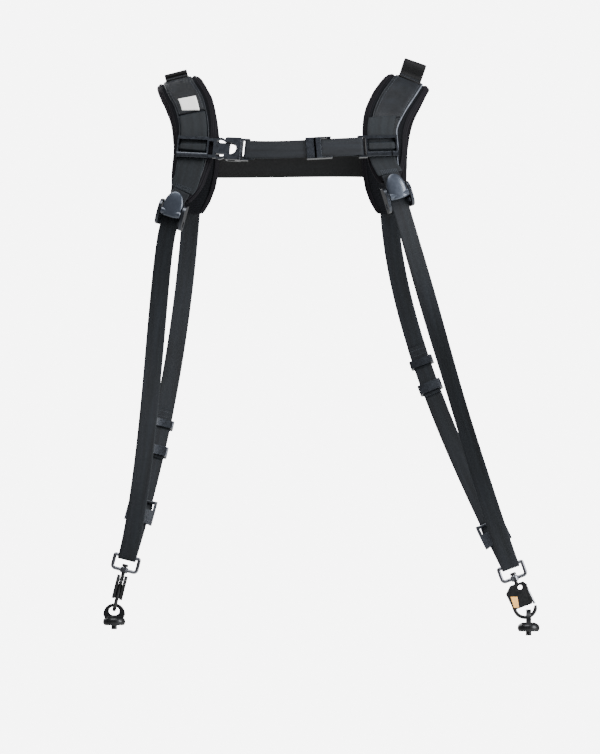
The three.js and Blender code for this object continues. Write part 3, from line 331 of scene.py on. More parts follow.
rearRows = np.array([
    [0.02, 0.985, 0.17, 0.96, 14], [0.095, 0.94, 0.34, 1.0, 14], [0.25, 0.872, 0.56, 1.0, 14],
    [0.46, 0.84, 0.755, 1.0, 12], [0.65, 0.842, 0.86, 0.98, 10], [0.8, 0.86, 0.925, 0.9, 8],
    [0.92, 0.878, 0.97, 0.72, 8], [1.0, 0.885, 1.0, 0.5, 8],
])
sides = [
    {"name": "left", "sign": -1, "rows": leftPadRows, "frontDrop": 126.0, "forward": 73.0,
     "chestRow": 5, "seamRow": 7.5, "seamTurn": -5.0, "railShift": 0.0, "lockTurn": 8.0,
     "loopStand": 5.5, "loopRow": 11.2,
     "hookOut": 177.0, "hookDrop": 511.0, "hookLean": 14.0, "hookTurn": 90.0, "roll": 18.0,
     "lockShare": 0.135, "sliderShare": 0.32, "keeperShare": 0.4, "rearBow": 26.0},
    {"name": "right", "sign": 1, "rows": rightPadRows, "frontDrop": 106.5, "forward": 70.0,
     "chestRow": 3.85, "seamRow": 6.75, "seamTurn": 24.0, "railShift": -6.0, "lockTurn": 0.0,
     "loopStand": 18.0, "loopRow": 10.2,
     "hookOut": 239.4, "hookDrop": 520.5, "hookLean": 20.0, "hookTurn": 180.0, "roll": 38.0,
     "lockShare": 0.095, "sliderShare": 0.53, "keeperShare": 0.6, "rearBow": 64.0},
]
railBase = pad["thick"] / 2 + gap
barRadius = 1.8
wrapRadius = barRadius + gap + webThick / 2
tabEdge = railBase + webThick / 2
railEndRow = 0.95
chest = {
    "frameWidth": 35.0, "frameHeight": 24.0, "midBar": 4.0, "lowBar": 6.0, "frameThick": 3.1,
    "midThick": 2.6, "sideBarReach": 6.5, "endBarReach": 43.0, "glideShare": 0.63,
}
lockEnd, camRadius = 26.0, 4.35
leverHigh = webThick / 2 + gap + camRadius
hookRun = {"forward": 33.0, "entry": 8.0, "exit": 22.0, "loopWire": 3.6}


def unit(v):
    return v / np.linalg.norm(v, axis=-1, keepdims=True)


def frames(P, along, outHint):
    # T is the unit direction along, N the part of the hint square to it, A = T x N
    T = unit(np.asarray(along, float))
    outHint = np.asarray(outHint, float)
    N = unit(outHint - T * np.sum(outHint * T, axis=-1, keepdims=True))
    P = np.broadcast_to(np.asarray(P, float), T.shape)
    return {"P": P.copy(), "T": T, "N": N, "A": np.cross(T, N)}


def at(f, across, along, out):
    across, along, out = (np.asarray(x, float)[..., None] for x in (across, along, out))
    return f["P"] + f["A"] * across + f["T"] * along + f["N"] * out


def moved(f, across, along, out):
    return {**f, "P": at(f, across, along, out)}


def ringsOf(f, across, out, along=0.0):
    # A ring of places round each frame: across and out have a row per frame
    return at({k: v[:, None] for k, v in f.items()}, across, along, out)


def reversedFrames(f):
    return {"P": f["P"], "A": -f["A"], "T": -f["T"], "N": f["N"]}


def turnedOver(f):
    return {"P": f["P"], "A": f["A"], "T": -f["T"], "N": -f["N"]}


def take(f, index):
    return {k: v[index] for k, v in f.items()}


def flipOrder(f):
    return {k: v[::-1] for k, v in f.items()}


def chain(*parts):
    return {k: np.concatenate([np.atleast_2d(p[k]) for p in parts]) for k in "PATN"}


def turnAbout(v, axis, angle):
    # Rodrigues: the part along the axis stays, the rest turns by the angle
    angle = np.asarray(angle, float)[..., None]
    along = axis * np.sum(v * axis, axis=-1, keepdims=True)
    return along + (v - along) * np.cos(angle) + np.cross(axis, v) * np.sin(angle)


def smoothstep(x):
    x = np.clip(x, 0, 1)
    return x * x * (3 - 2 * x)


def catmull(points, t):
    # Centripetal Catmull-Rom curve through the points, t from 0 to 1
    last = len(points) - 1
    p = np.clip(np.asarray(t, float), 0, 1) * last
    i = np.minimum(np.floor(p).astype(int), last - 1)
    w = (p - i)[:, None]
    padded = np.vstack([2 * points[0] - points[1], points, 2 * points[-1] - points[-2]])
    p0, p1, p2, p3 = padded[i], padded[i + 1], padded[i + 2], padded[i + 3]
    d0, d1, d2 = (np.sqrt(np.linalg.norm(b - a, axis=1, keepdims=True))
                  for a, b in ((p0, p1), (p1, p2), (p2, p3)))
    m1 = ((p1 - p0) / d0 - (p2 - p0) / (d0 + d1) + (p2 - p1) / d1) * d1
    m2 = ((p2 - p1) / d1 - (p3 - p1) / (d1 + d2) + (p3 - p2) / d2) * d1
    return (p1 + m1 * w + (3 * (p2 - p1) - 2 * m1 - m2) * w ** 2
            + (2 * (p1 - p2) + m1 + m2) * w ** 3)


class PadPath:
    # Path of one pad from its front end over the ridge to its rear end
    def __init__(self, side):
        front, rear, sign = side["rows"], rearRows, side["sign"]
        ridgeHigh = pad["thick"] / 2
        frontPoints = np.stack([
            sign * front[:, 1] * pad["spread"], -front[:, 2] * side["forward"],
            ridgeHigh - front[:, 0] * side["frontDrop"]], axis=1)
        outShare = rear[:, 1] + (front[-1, 1] - 1) * (1 - rear[:, 0]) ** 2
        rearPoints = np.stack([
            sign * outShare * pad["spread"], rear[:, 2] * pad["behind"],
            ridgeHigh - rear[:, 0] * pad["rearDrop"]], axis=1)
        self.points = np.vstack([frontPoints, rearPoints])
        self.wide = np.concatenate([front[:, 3], rear[:, 3]])
        self.lean = np.concatenate([front[:, 4], rear[:, 4]])
        self.sign, self.last, self.ridge = sign, len(self.points) - 1, len(front) - 1

    def place(self, rows):
        return catmull(self.points, np.asarray(rows, float) / self.last)

    def frame(self, rows):
        rows = np.atleast_1d(np.asarray(rows, float))
        step = 0.02
        T = unit(self.place(np.minimum(rows + step, self.last)) - self.place(np.maximum(rows - step, 0)))
        lean = np.interp(rows, np.arange(self.last + 1), self.lean)
        hint = turnAbout(np.tile([1.0, 0, 0], (len(rows), 1)), T, self.sign * np.radians(lean))
        return frames(self.place(rows), T, np.cross(hint, T))

    def rowStep(self, row, length):
        near = self.place([row - 0.02, row + 0.02])
        return length / (np.linalg.norm(near[1] - near[0]) / 0.04)

    def halfWidth(self, rows):
        return np.interp(rows, np.arange(self.last + 1), self.wide) * pad["width"] / 2


def padTop(share):
    return (pad["edge"] + (pad["thick"] - pad["edge"]) * (1 - np.abs(share) ** 4)) / 2


def rail(fromChest):
    flatTop = chest["midBar"] / 2 + 2 * gap
    foot = chest["frameHeight"] / 2 - chest["lowBar"] - 2 * gap
    share = np.clip((foot - np.abs(fromChest)) / (foot - flatTop), 0, 1)
    return railBase + (chest["midThick"] + gap) * smoothstep(share) * 0.999


def railMiddle(side, rows):
    # The rail lies off the pad's middle, and comes back to it at its lower end
    return side["railShift"] * smoothstep((np.asarray(rows, float) - 1) / 2)


def seamSkew(side, path, rows):
    # How far each row slides along per mm across: all at the turned seam, nothing where it has faded
    fromSeam = np.abs(np.asarray(rows) - side["seamRow"]) / path.rowStep(side["seamRow"], 1.0)
    return math.tan(math.radians(side["seamTurn"])) * (1 - smoothstep(fromSeam / pad["seamFade"]))


def bezier(p, share):
    # Cubic curve through four control points, spaced evenly along its length
    def curve(t):
        t = t[:, None]
        return ((1 - t) ** 3 * p[0] + 3 * (1 - t) ** 2 * t * p[1]
                + 3 * (1 - t) * t ** 2 * p[2] + t ** 3 * p[3])
    fine = np.linspace(0, 1, 401)
    length = np.concatenate([[0], np.cumsum(np.linalg.norm(np.diff(curve(fine), axis=0), axis=1))])
    t = np.interp(np.asarray(share) * length[-1], length, fine)
    u = t[:, None]
    along = 3 * ((1 - u) ** 2 * (p[1] - p[0]) + 2 * (1 - u) * u * (p[2] - p[1]) + u ** 2 * (p[3] - p[2]))
    return curve(t), along


def bezierFrames(p, share, outFrom, outTo, roll=0.0):
    share = np.asarray(share, float)
    place, along = bezier(p, share)
    T = unit(along)
    mix = smoothstep(share)[:, None]
    out = outFrom * (1 - mix) + outTo * mix
    return frames(place, T, turnAbout(out, T, roll * np.sin(np.pi * share) ** 2))


def spanPoints(start, end, share):
    # Control points from one frame to the other, each handle a share of their distance
    reach = np.linalg.norm(end["P"] - start["P"]) * share
    return [start["P"], start["P"] + start["T"] * reach, end["P"] - end["T"] * reach, end["P"]]


def arcFrames(centre, radius, angles, sense=1):
    # Round a bar that lies along A: the angle runs from N towards T times sense
    angles = np.asarray(angles, float)[:, None]
    out = centre["N"] * np.cos(angles) + sense * centre["T"] * np.sin(angles)
    along = centre["T"] * np.cos(angles) - sense * centre["N"] * np.sin(angles)
    return frames(centre["P"] + out * radius, along, out)


def frameAt(run, share):
    i = np.clip(share * (len(run["P"]) - 1), 0, len(run["P"]) - 1.001)
    low, part = int(i), i - int(i)
    P, N = (run[k][low] * (1 - part) + run[k][low + 1] * part for k in "PN")
    return frames(P, run["P"][low + 1] - run["P"][low], N)


def lengths(f):
    return np.concatenate([[0], np.cumsum(np.linalg.norm(np.diff(f["P"], axis=0), axis=1))])


# Meshes

def ripple(a, b, scale, seed):
    # Smooth unevenness: a sum of waves in random directions, about -1 to 1
    rng = np.random.default_rng(seed)
    total = np.zeros(np.broadcast(a, b).shape)
    for k in range(7):
        angle, phase = rng.uniform(0, 2 * np.pi, 2)
        size = scale * rng.uniform(0.6, 1.8)
        total += np.sin((a * np.cos(angle) + b * np.sin(angle)) * 2 * np.pi / size + phase)
    return total / 4


def meshPiece(name, points, faces, look, body, uv=None, sharp=None):
    # faces: arrays of quads or triangles over the points; uv: one pair per point, in mm
    mesh = bpy.data.meshes.new(name)
    mesh.from_pydata((points * mm).tolist(), [], faces)
    if uv is not None:
        layer = mesh.uv_layers.new(name="weave")
        corners = np.empty(len(mesh.loops), int)
        mesh.loops.foreach_get("vertex_index", corners)
        layer.data.foreach_set("uv", uv[corners].astype(np.float32).ravel())
    mesh.materials.append(looks[look])
    mesh.polygons.foreach_set("use_smooth", np.full(len(mesh.polygons), True))
    box = bmesh.new()
    box.from_mesh(mesh)
    bmesh.ops.recalc_face_normals(box, faces=box.faces)
    box.to_mesh(mesh)
    box.free()
    if sharp:
        mesh.set_sharp_from_angle(angle=math.radians(sharp))
    mesh.update()
    piece = bpy.data.objects.new(name, mesh)
    bpy.context.scene.collection.objects.link(piece)
    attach(piece, body)
    return piece


def ringFaces(rows, around, closed=False):
    # Quads between neighbouring rings, and a fan over each end unless the rings close on themselves
    i, j = np.meshgrid(np.arange(rows - (0 if closed else 1)), np.arange(around), indexing="ij")
    k, n = (j + 1) % around, (i + 1) % rows
    quads = np.stack([i * around + j, i * around + k, n * around + k, n * around + j], -1).reshape(-1, 4)
    faces = quads.tolist()
    if not closed:
        for row, middle in ((0, rows * around), (rows - 1, rows * around + 1)):
            ring = np.arange(around) + row * around
            turn = np.roll(ring, -1)
            fan = np.stack([np.full(around, middle), ring, turn], -1)
            faces += (fan[:, ::-1] if row == 0 else fan).tolist()
    return faces


def tubePiece(name, rings, look, body, uvAlong=None, uvAround=None, closed=False, sharp=None):
    # rings: array of rows x points around x 3
    rows, around = rings.shape[:2]
    points = rings.reshape(-1, 3)
    uv = None
    if uvAlong is not None:
        uv = np.stack(np.meshgrid(uvAlong, uvAround, indexing="ij"), -1).reshape(-1, 2)
    if not closed:
        ends = np.stack([rings[0].mean(axis=0), rings[-1].mean(axis=0)])
        points = np.vstack([points, ends])
        if uv is not None:
            uv = np.vstack([uv, [[uvAlong[0], 0], [uvAlong[-1], 0]]])
    return meshPiece(name, points, ringFaces(rows, around, closed), look, body, uv, sharp)


def webbingPiece(name, f, node, look="webbing", width=webWidth, flow=0.12, seed=1, skew=0.0):
    # Flat band with rounded selvedges: height falls to nothing along a half circle at each edge
    edge = webThick / 2
    half = np.asarray(width) / 2 * np.ones(len(f["P"]))
    flat, level = np.linspace(-1, 1, 13), np.zeros(13)
    arc = np.linspace(0, np.pi, 5)[1:-1]
    bend, fall = np.sin(arc) * edge, np.cos(arc) * edge
    along = lengths(f)
    across = np.concatenate([flat, np.ones(3), flat[::-1], -np.ones(3)])
    bulge = np.concatenate([level, bend, level, -bend])
    high = np.concatenate([level + edge, fall, level - edge, -fall])
    place = across[None] * (half[:, None] - edge) + bulge[None]
    wave = flow * ripple(along[:, None], place, 60, seed)
    rings = ringsOf(f, place, high[None] * 0.98 + wave, np.reshape(skew, (-1, 1)) * place)
    piece = tubePiece(name, rings, look, "root", along, float(half.max()) * across)
    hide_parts(node)


def rodPiece(name, path, radius, look, body, around=20, closed=False, up=(0, 0, 1)):
    # Round rod along a path: a circle in the plane square to it
    path = np.asarray(path, float)
    if closed:
        along = unit(np.roll(path, -1, axis=0) - np.roll(path, 1, axis=0))
    else:
        along = unit(np.gradient(path, axis=0))
    f = frames(path, along, np.tile(np.asarray(up, float), (len(path), 1)))
    angle = np.linspace(0, 2 * np.pi, around, endpoint=False)
    radius = np.asarray(radius, float) * np.ones(len(path))
    rings = ringsOf(f, np.cos(angle)[None] * radius[:, None], np.sin(angle)[None] * radius[:, None])
    return tubePiece(name, rings, look, body, lengths(f), angle * radius.max(), closed)


def turnedPiece(name, f, profile, look, body, bored=False):
    # Turned on a lathe round the frame's T: profile is radius and place along; a bored one closes on itself
    radius, along = np.asarray(profile, float).T[:, :, None]
    angle = np.linspace(0, 2 * np.pi, 48, endpoint=False)
    rings = at(f, radius * np.cos(angle), along * np.ones(48), radius * np.sin(angle))
    return tubePiece(name, rings, look, body, closed=bored, sharp=35)


def bodyOf(node):
    return next(b for b, nodes in frame["record"]["behaviour"]["bodies"].items() if node in nodes)


def dressedNode(node, look, bevel=0.35, angle=32.0):
    # The solid's own shape with its mesh made whole, its edges rounded and its finish put on
    source = frame["nodes"][node]
    mesh = source.data.copy()
    box = bmesh.new()
    box.from_mesh(mesh)
    bmesh.ops.remove_doubles(box, verts=box.verts, dist=1e-6)
    bmesh.ops.dissolve_limit(box, angle_limit=math.radians(0.6), verts=box.verts, edges=box.edges)
    box.to_mesh(mesh)
    box.free()
    for layer in [a.name for a in mesh.attributes if a.name == "custom_normal"]:
        mesh.attributes.remove(mesh.attributes[layer])
    mesh.materials.clear()
    mesh.materials.append(looks[look])
    mesh.polygons.foreach_set("use_smooth", np.full(len(mesh.polygons), True))
    mesh.set_sharp_from_angle(angle=math.radians(angle))
    piece = bpy.data.objects.new(node + "_dressed", mesh)
    bpy.context.scene.collection.objects.link(piece)
    if bevel:
        soften = piece.modifiers.new("soften", "BEVEL")
        soften.width = bevel * mm
        soften.segments = 2
        soften.limit_method = "ANGLE"
        soften.angle_limit = math.radians(angle)
        soften.use_clamp_overlap = True
        soften.harden_normals = True
    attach(piece, bodyOf(node))
    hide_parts(node)
    return piece


# Pads: foam pad, bound edge, panel and label

padDetail = {
    "rowsPerRow": 9, "side": 2.5, "seamDip": 0.55, "seamWidth": 1.6, "puff": 0.5,
    "bindingRadius": 2.2, "wrinkle": 0.18, "lap": 2.8, "tapeThick": 0.7, "piping": 0.75,
}
paths = [PadPath(side) for side in sides]


def edgeName(side, edge):
    return f"{side['name']}_{'outer' if edge * side['sign'] > 0 else 'inner'}"


def makePadBody(side, path):
    # Ring: the top face with its crown, a round side wall, the underside and the other side wall
    rows = np.linspace(0, path.last, path.last * padDetail["rowsPerRow"] + 1)
    f = path.frame(rows)
    half = path.halfWidth(rows)[:, None]
    flat = np.linspace(-1, 1, 41)
    arc = np.linspace(0, np.pi, 9)[1:-1]
    r = padDetail["side"]
    along = lengths(f)[:, None]
    lateral = flat[None] * (half - r)
    fromMiddle = np.abs(lateral)
    seam = half * pad["panelShare"] + 1.2
    dip = padDetail["seamDip"] * np.exp(-((fromMiddle - seam) / padDetail["seamWidth"]) ** 2)
    swell = padDetail["puff"] * smoothstep((fromMiddle - seam) / 3) * smoothstep((half - fromMiddle) / 4)
    creases = padDetail["wrinkle"] * ripple(along, lateral * 0.5, 26, 3 + side["sign"])
    top = padTop(flat)[None] - dip + np.where(fromMiddle > seam, swell + creases, np.minimum(creases, 0))
    sideX = half - r + np.sin(arc)[None] * r
    sideZ = np.cos(arc)[None] * padTop(1.0) * np.ones_like(half)
    under = np.maximum(0.3 * ripple(along, lateral, 30, 8), -0.2) - padTop(flat[::-1])[None]
    place = np.hstack([lateral, sideX, lateral[:, ::-1], -sideX])
    high = np.hstack([top, sideZ, under, -sideZ])
    wallRun = np.arange(7) * 1.2
    uvAcross = np.concatenate([flat * 25, 25 + wallRun, 33 + np.linspace(0, 50, 41), 90 + wallRun])
    piece = tubePiece(f"pad_foam_{side['name']}", ringsOf(f, place, high), "mesh", "root", along[:, 0],
                      uvAcross)
    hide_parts(f"shoulder_pad_{side['name']}")


def makeBinding(side, path):
    # Folded tape round the pad's rim: a flattened circle carried round the whole edge
    r = padDetail["bindingRadius"]
    rows = np.linspace(0.12, path.last - 0.12, path.last * 8)
    f = path.frame(rows)
    half = path.halfWidth(rows) - r * 0.75
    ends = []
    for row, turn in ((path.last, 1), (0, -1)):
        w = path.halfWidth(row) - r * 1.4
        ends.append(at(path.frame([row]), np.linspace(w, -w, 9) * turn, -turn * r * 0.5, 0))
    loop = np.vstack([at(f, half, 0, 0), ends[0], at(f, -half, 0, 0)[::-1], ends[1]])
    for _ in range(2):
        loop = (np.roll(loop, 1, axis=0) + 2 * loop + np.roll(loop, -1, axis=0)) / 4
    nearest = path.frame(np.linspace(0, path.last, 200))
    pick = np.argmin(np.linalg.norm(loop[:, None] - nearest["P"][None], axis=-1), axis=1)
    along = unit(np.roll(loop, -1, axis=0) - np.roll(loop, 1, axis=0))
    g = frames(loop, along, nearest["N"][pick])
    angle = np.linspace(0, 2 * np.pi, 14, endpoint=False)
    rings = ringsOf(g, np.cos(angle)[None] * r, np.sin(angle)[None] * r * 1.12)
    piece = tubePiece(f"pad_rim_{side['name']}", rings, "binding", "root", lengths(g), angle * r,
                      closed=True)


def makeSideTape(side, path, edge):
    # Wide tape folded over the pad's side wall and a little way onto both faces
    rows = np.linspace(0.25, path.last - 0.25, path.last * 9)
    f = path.frame(rows)
    half = path.halfWidth(rows)[:, None]
    along = lengths(f)[:, None]
    r = padDetail["side"]
    arc = np.linspace(0, np.pi, 11)
    onFace = -r - padDetail["lap"] * (1 - np.linspace(0, 1, 6)[:-1])
    topAt = padTop(1 + onFace[None] / half) + 0.15
    wallAt = np.tile(np.cos(arc) * (padTop(1.0) + 0.1), (len(rows), 1))
    fromEdge = np.tile(np.concatenate([onFace, np.sin(arc) * r - r, onFace[::-1]]), (len(rows), 1))
    height = np.hstack([topAt, wallAt, -topAt[:, ::-1]])
    folds = ripple(along, np.arange(height.shape[1])[None] * 2.0, 14, 61)
    fade = np.clip(np.minimum(along, along[-1] - along) / 6 + 0.2, 0.2, 1)
    thick = padDetail["tapeThick"] * (1 + 0.25 * folds) * fade
    slope = np.gradient(fromEdge, axis=1), np.gradient(height, axis=1)
    size = np.hypot(*slope) + 1e-9
    outerX, outerZ = fromEdge - slope[1] / size * thick, height + slope[0] / size * thick
    place = edge * (half + np.hstack([outerX, fromEdge[:, ::-1]]))
    high = np.hstack([outerZ, height[:, ::-1]])
    piece = tubePiece(f"pad_tape_{edgeName(side, edge)}", ringsOf(f, place, high), "binding", "root",
                      along[:, 0], np.arange(place.shape[1]) * 1.1, sharp=60)


def makePiping(side, path, edge):
    # Thin rolled edge beside the panel, which catches the light down to the pad's lower end; the right pad's
    # outer piping is a paler copy, a painted highlight.
    rows = np.linspace(1.6, path.ridge + 3.6, 150)
    half = path.halfWidth(rows)
    outer = edge * side["sign"] > 0
    share = pad["panelShare"] + 0.03 + 0.1 * smoothstep((side["seamRow"] - rows) / 3)
    beside = 0.72 * smoothstep((side["seamRow"] + 1.6 - rows) / 3.4) * outer
    place = edge * share * half + railMiddle(side, rows) * beside
    line = at(path.frame(rows), place, 0, padTop(place / half) + 0.35)
    # Painted highlight: the right pad's outer piping takes the paler copy of the piping.
    look = "pipingPaintedHighlight" if side["sign"] > 0 and outer else "piping"
    piece = rodPiece(f"pad_piping_{edgeName(side, edge)}", line, padDetail["piping"], look, "root",
                     around=10)


def layerPiece(name, path, rows, shareHalf, lowest, highest, puff=0.0, seed=1, edgeDip=0.0, skew=0.0):
    # Sewn cloth layer on the pad's crown: a thin closed ring per row, swollen between its seams
    f = path.frame(rows)
    half = path.halfWidth(rows)[:, None]
    s = np.linspace(-shareHalf, shareHalf, 33)
    along = lengths(f)
    lateral = s[None] * half
    fromEnd = np.minimum(along, along[-1] - along)[:, None]
    rim = np.minimum((shareHalf - np.abs(s))[None] * half, fromEnd)
    stitch = edgeDip * np.exp(-((rim - 1.8) / 0.7) ** 2)
    cloth = puff * smoothstep(rim / 5) * (0.6 + 0.6 * ripple(along[:, None], lateral * 0.6, 24, seed))
    base = padTop(s)[None] * np.ones_like(half) + lowest
    edge = smoothstep((rim + 0.02) / 0.6)
    top = base + (highest - lowest) * (0.55 + 0.45 * edge) + np.maximum(cloth - stitch, -0.5)
    place = np.hstack([lateral, lateral[:, ::-1]])
    rings = ringsOf(f, place, np.hstack([top, base[:, ::-1]]), np.reshape(skew, (-1, 1)) * place)
    across = np.concatenate([lateral.mean(axis=0), lateral.mean(axis=0)[::-1] + 80])
    return tubePiece(name, rings, "panel", "root", along, across)


def stitchPiece(name, f, length=2.2, pitch=3.0, radius=0.28):
    # Row of small stitches: each is a long six-sided bead half sunk in the cloth
    total = lengths(f)
    count = max(2, int(total[-1] / pitch))
    places = (np.arange(count) + 0.5) / count * total[-1]
    P, T, N = (np.stack([np.interp(places, total, f[axis][:, k]) for k in range(3)], 1) for axis in "PTN")
    ring = np.linspace(0, 2 * np.pi, 6, endpoint=False)
    r = np.array([0.25, 1.0, 1.0, 0.25])[:, None] * radius
    x, z = (np.cos(ring) * r).ravel(), (np.sin(ring) * r).ravel()
    u = np.repeat(np.array([-0.5, -0.32, 0.32, 0.5]) * length, 6)
    points = ringsOf(frames(P, T, N), x[None], z[None], u[None]).reshape(-1, 3)
    quads = np.array(ringFaces(4, 6)[:18])
    caps = np.array([[5, 4, 3, 2, 1, 0], [18, 19, 20, 21, 22, 23]])
    first = 24 * np.arange(count)[:, None, None]
    faces = (quads[None] + first).reshape(-1, 4).tolist() + (caps[None] + first).reshape(-1, 6).tolist()
    return meshPiece(name, points, faces, "thread", "root", np.tile(np.stack([x, u], 1), (count, 1)))


def makePads(side, path):
    name = side["name"]
    makePadBody(side, path)
    makeBinding(side, path)
    for edge in (-1, 1):
        makeSideTape(side, path, edge)
        makePiping(side, path, edge)
    rows = np.linspace(side["seamRow"], path.ridge + 4, 90)
    panelTop = gap + pad["panelThick"]
    panel = layerPiece(f"panel_cloth_{name}", path, rows, pad["panelShare"], gap * 0.4, panelTop,
                       puff=0.7, seed=11 + side["sign"], edgeDip=0.35, skew=seamSkew(side, path, rows))
    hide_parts(f"pad_panel_{name}")
    low = np.linspace(side["seamRow"], railEndRow + 0.1, 60)
    under = layerPiece(f"panel_under_{name}", path, low, pad["panelShare"] - 0.05, 0.02, 0.28,
                       skew=seamSkew(side, path, low))
    f, half = path.frame(rows[1:-1]), path.halfWidth(rows[1:-1])
    for edge in (-1, 1):
        lateral = edge * (half * pad["panelShare"] - 1.8)
        seam = moved(f, lateral, 0, padTop(lateral / half) + panelTop - 0.1)
        stitchPiece(f"panel_stitch_{edgeName(side, edge)}", seam)


for side, path in zip(sides, paths):
    makePads(side, path)
print("pads ready")


label = {"width": 19.6, "height": 18.0, "thick": 0.8, "lift": 2.6, "turn": 19.0, "lean": 2.0}


def makePatch(path, side):
    # Woven label: a square turned a little on the panel, its rim folded under and sewn down
    middle = side["seamRow"] + path.rowStep(side["seamRow"], label["lift"] + label["height"] / 2)
    turn, lean = math.radians(label["turn"]), math.radians(label["lean"])
    u = np.linspace(-1, 1, 25)
    level, x = np.meshgrid(u * label["height"] / 2, u * label["width"] / 2, indexing="ij")
    rows = middle + path.rowStep(middle, 1.0) * u * label["height"] / 2 * math.cos(lean)
    f = path.frame(rows)
    across = x * math.cos(turn) + level * math.sin(lean)
    rim = np.minimum(label["height"] / 2 - np.abs(level), label["width"] / 2 - np.abs(x))
    base = padTop(across / path.halfWidth(rows)[:, None]) + gap + pad["panelThick"] + gap
    top = base + label["thick"] * np.where(rim < 0.3, 0.55, 1.0) - 0.12 * np.exp(-((rim - 1.4) / 0.4) ** 2)
    place = np.hstack([across, across[:, ::-1]])
    slide = -math.sin(turn) * np.hstack([x, x[:, ::-1]])
    high = np.hstack([top, base[:, ::-1] - 0.2])
    rings = ringsOf(f, place, high, slide)
    uvAcross = np.concatenate([u, u[::-1]]) * label["width"] / 2
    patch = tubePiece("label_patch", rings, "label", "root", u * label["height"] / 2, uvAcross)
    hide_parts("patch_left")


makePatch(paths[0], sides[0])

# Webbing

def makeRail(side, path):
    rowMm = path.rowStep(side["chestRow"], 1.0)
    rows = np.linspace(side["seamRow"] - 0.1, railEndRow, 130)
    near = np.abs(rows - side["chestRow"]) / rowMm
    half = np.minimum(pad["railWidth"] / 2, path.halfWidth(rows) * 0.92)
    f = moved(path.frame(rows), railMiddle(side, rows), 0, rail(near) + webThick / 2)
    webbingPiece(f"rail_{side['name']}", reversedFrames(f), f"rail_webbing_{side['name']}", "rail",
                 width=2 * half, flow=0.05, seed=21, skew=seamSkew(side, path, rows))


def lockFrames(side, path):
    place = at(take(reversedFrames(path.frame([0])), 0), 0, pad["tabLength"], tabEdge - wrapRadius)
    hookPlace = np.array([side["sign"] * side["hookOut"], -hookRun["forward"], -side["hookDrop"]])
    lean = math.radians(side["hookLean"])
    hook = frames(hookPlace, [side["sign"] * math.sin(lean), 0, -math.cos(lean)], [0.0, -1, 0])
    lock = frames(place, hookPlace - place, take(path.frame([0]), 0)["N"])
    along = turnAbout(lock["T"], lock["N"], side["sign"] * math.radians(side["lockTurn"]))
    return frames(place, along, lock["N"]), hook


def makeTab(side, path, lock):
    onPad = moved(reversedFrames(path.frame(np.linspace(railEndRow - 0.08, 0, 8))), 0, 0, tabEdge)
    wrap = arcFrames(lock, wrapRadius, np.linspace(0, np.pi, 13))
    last = take(wrap, -1)
    f = chain(onPad, wrap, moved(last, 0, pad["tabLength"] * 0.35, 0))
    webbingPiece(f"tab_{side['name']}", f, f"pad_tab_{side['name']}", flow=0.02)


def makeTopLoop(side, path):
    leg = np.array([[-1.0, 0], [-0.6, 0], [-0.3, 0], [-0.14, 0.1], [-0.15, 0.3], [-0.2, 0.55],
                    [-0.2, 0.75], [-0.17, 0.9], [-0.1, 0.97]])
    profile = np.vstack([leg, [[0, 1.0]], leg[::-1] * [-1, 1]])
    base = railBase + pad["panelThick"] + gap + webThick / 2
    steps = [path.rowStep(side["loopRow"], a * pad["loopLeg"]) for a in profile[:, 0]]
    high = base + profile[:, 1] * side["loopStand"]
    legs = moved(path.frame(side["loopRow"] + np.array(steps)), 0, 0, high)
    along = np.gradient(legs["P"], axis=0)
    f = frames(legs["P"], along, np.cross(legs["A"], along))
    webbingPiece(f"loop_web_{side['name']}", f, f"top_loop_{side['name']}", "wideWebbing",
                 width=wideWebWidth, flow=0.05)


def strapRun(side, path, lock, hook):
    radius = hookRun["loopWire"] * 0.5 + 0.6 + gap + webThick / 2
    entry, leave = math.radians(hookRun["entry"]), math.pi - math.radians(hookRun["exit"])
    ends = arcFrames(hook, radius, [entry, leave])
    frontEnd, rearStart = ends["P"]
    lockExit = at(lock, 0, lockEnd + 1, 0)
    reach = np.linalg.norm(frontEnd - lockExit)
    front = bezierFrames(
        [lockExit, lockExit + lock["T"] * reach * 0.12, frontEnd - ends["T"][0] * reach * 0.3, frontEnd],
        np.linspace(0, 1, 110), lock["N"], ends["N"][0], side["sign"] * math.radians(side["roll"]))
    tail = moved(lock, 0, wrapRadius + webThick + gap, 0)
    wrap = arcFrames(hook, radius, np.linspace(entry, leave, 17)[1:-1])
    onPad = moved(reversedFrames(path.frame(np.linspace(path.last, path.last - 2, 14))), 0, 0, tabEdge)
    padEnd = take(onPad, 0)
    reach = np.linalg.norm(padEnd["P"] - rearStart)
    bow = np.array([-side["sign"] * side["rearBow"] * 0.3, 0, 0])
    rear = bezierFrames(
        [rearStart, rearStart + ends["T"][1] * reach * 0.4 + bow, padEnd["P"] - padEnd["T"] * reach * 0.28,
         padEnd["P"]],
        np.linspace(0, 1, 131), ends["N"][1], padEnd["N"])
    return chain(tail, front, wrap, rear, take(onPad, slice(1, None))), rear


def makeStrap(side, path, lock, hook):
    name = side["name"]
    run, rear = strapRun(side, path, lock, hook)
    webbingPiece(f"camera_strap_{name}", run, f"strap_{name}", flow=0.1, seed=31 + side["sign"])
    shares = np.linspace(side["sliderShare"] - 0.02, side["keeperShare"] + 0.045, 24)
    tail = moved(chain(*[frameAt(rear, s) for s in shares]), 0, 0, -webThick - gap)
    webbingPiece(f"tail_web_{name}", tail, f"strap_tail_{name}", flow=0.04)
    return rear


def chestFrame(side, path):
    f = take(path.frame([side["chestRow"]]), 0)
    middle = at(f, railMiddle(side, side["chestRow"]), 0, railBase)
    return {"P": middle, "T": f["A"], "N": f["N"], "A": np.cross(f["A"], f["N"])}


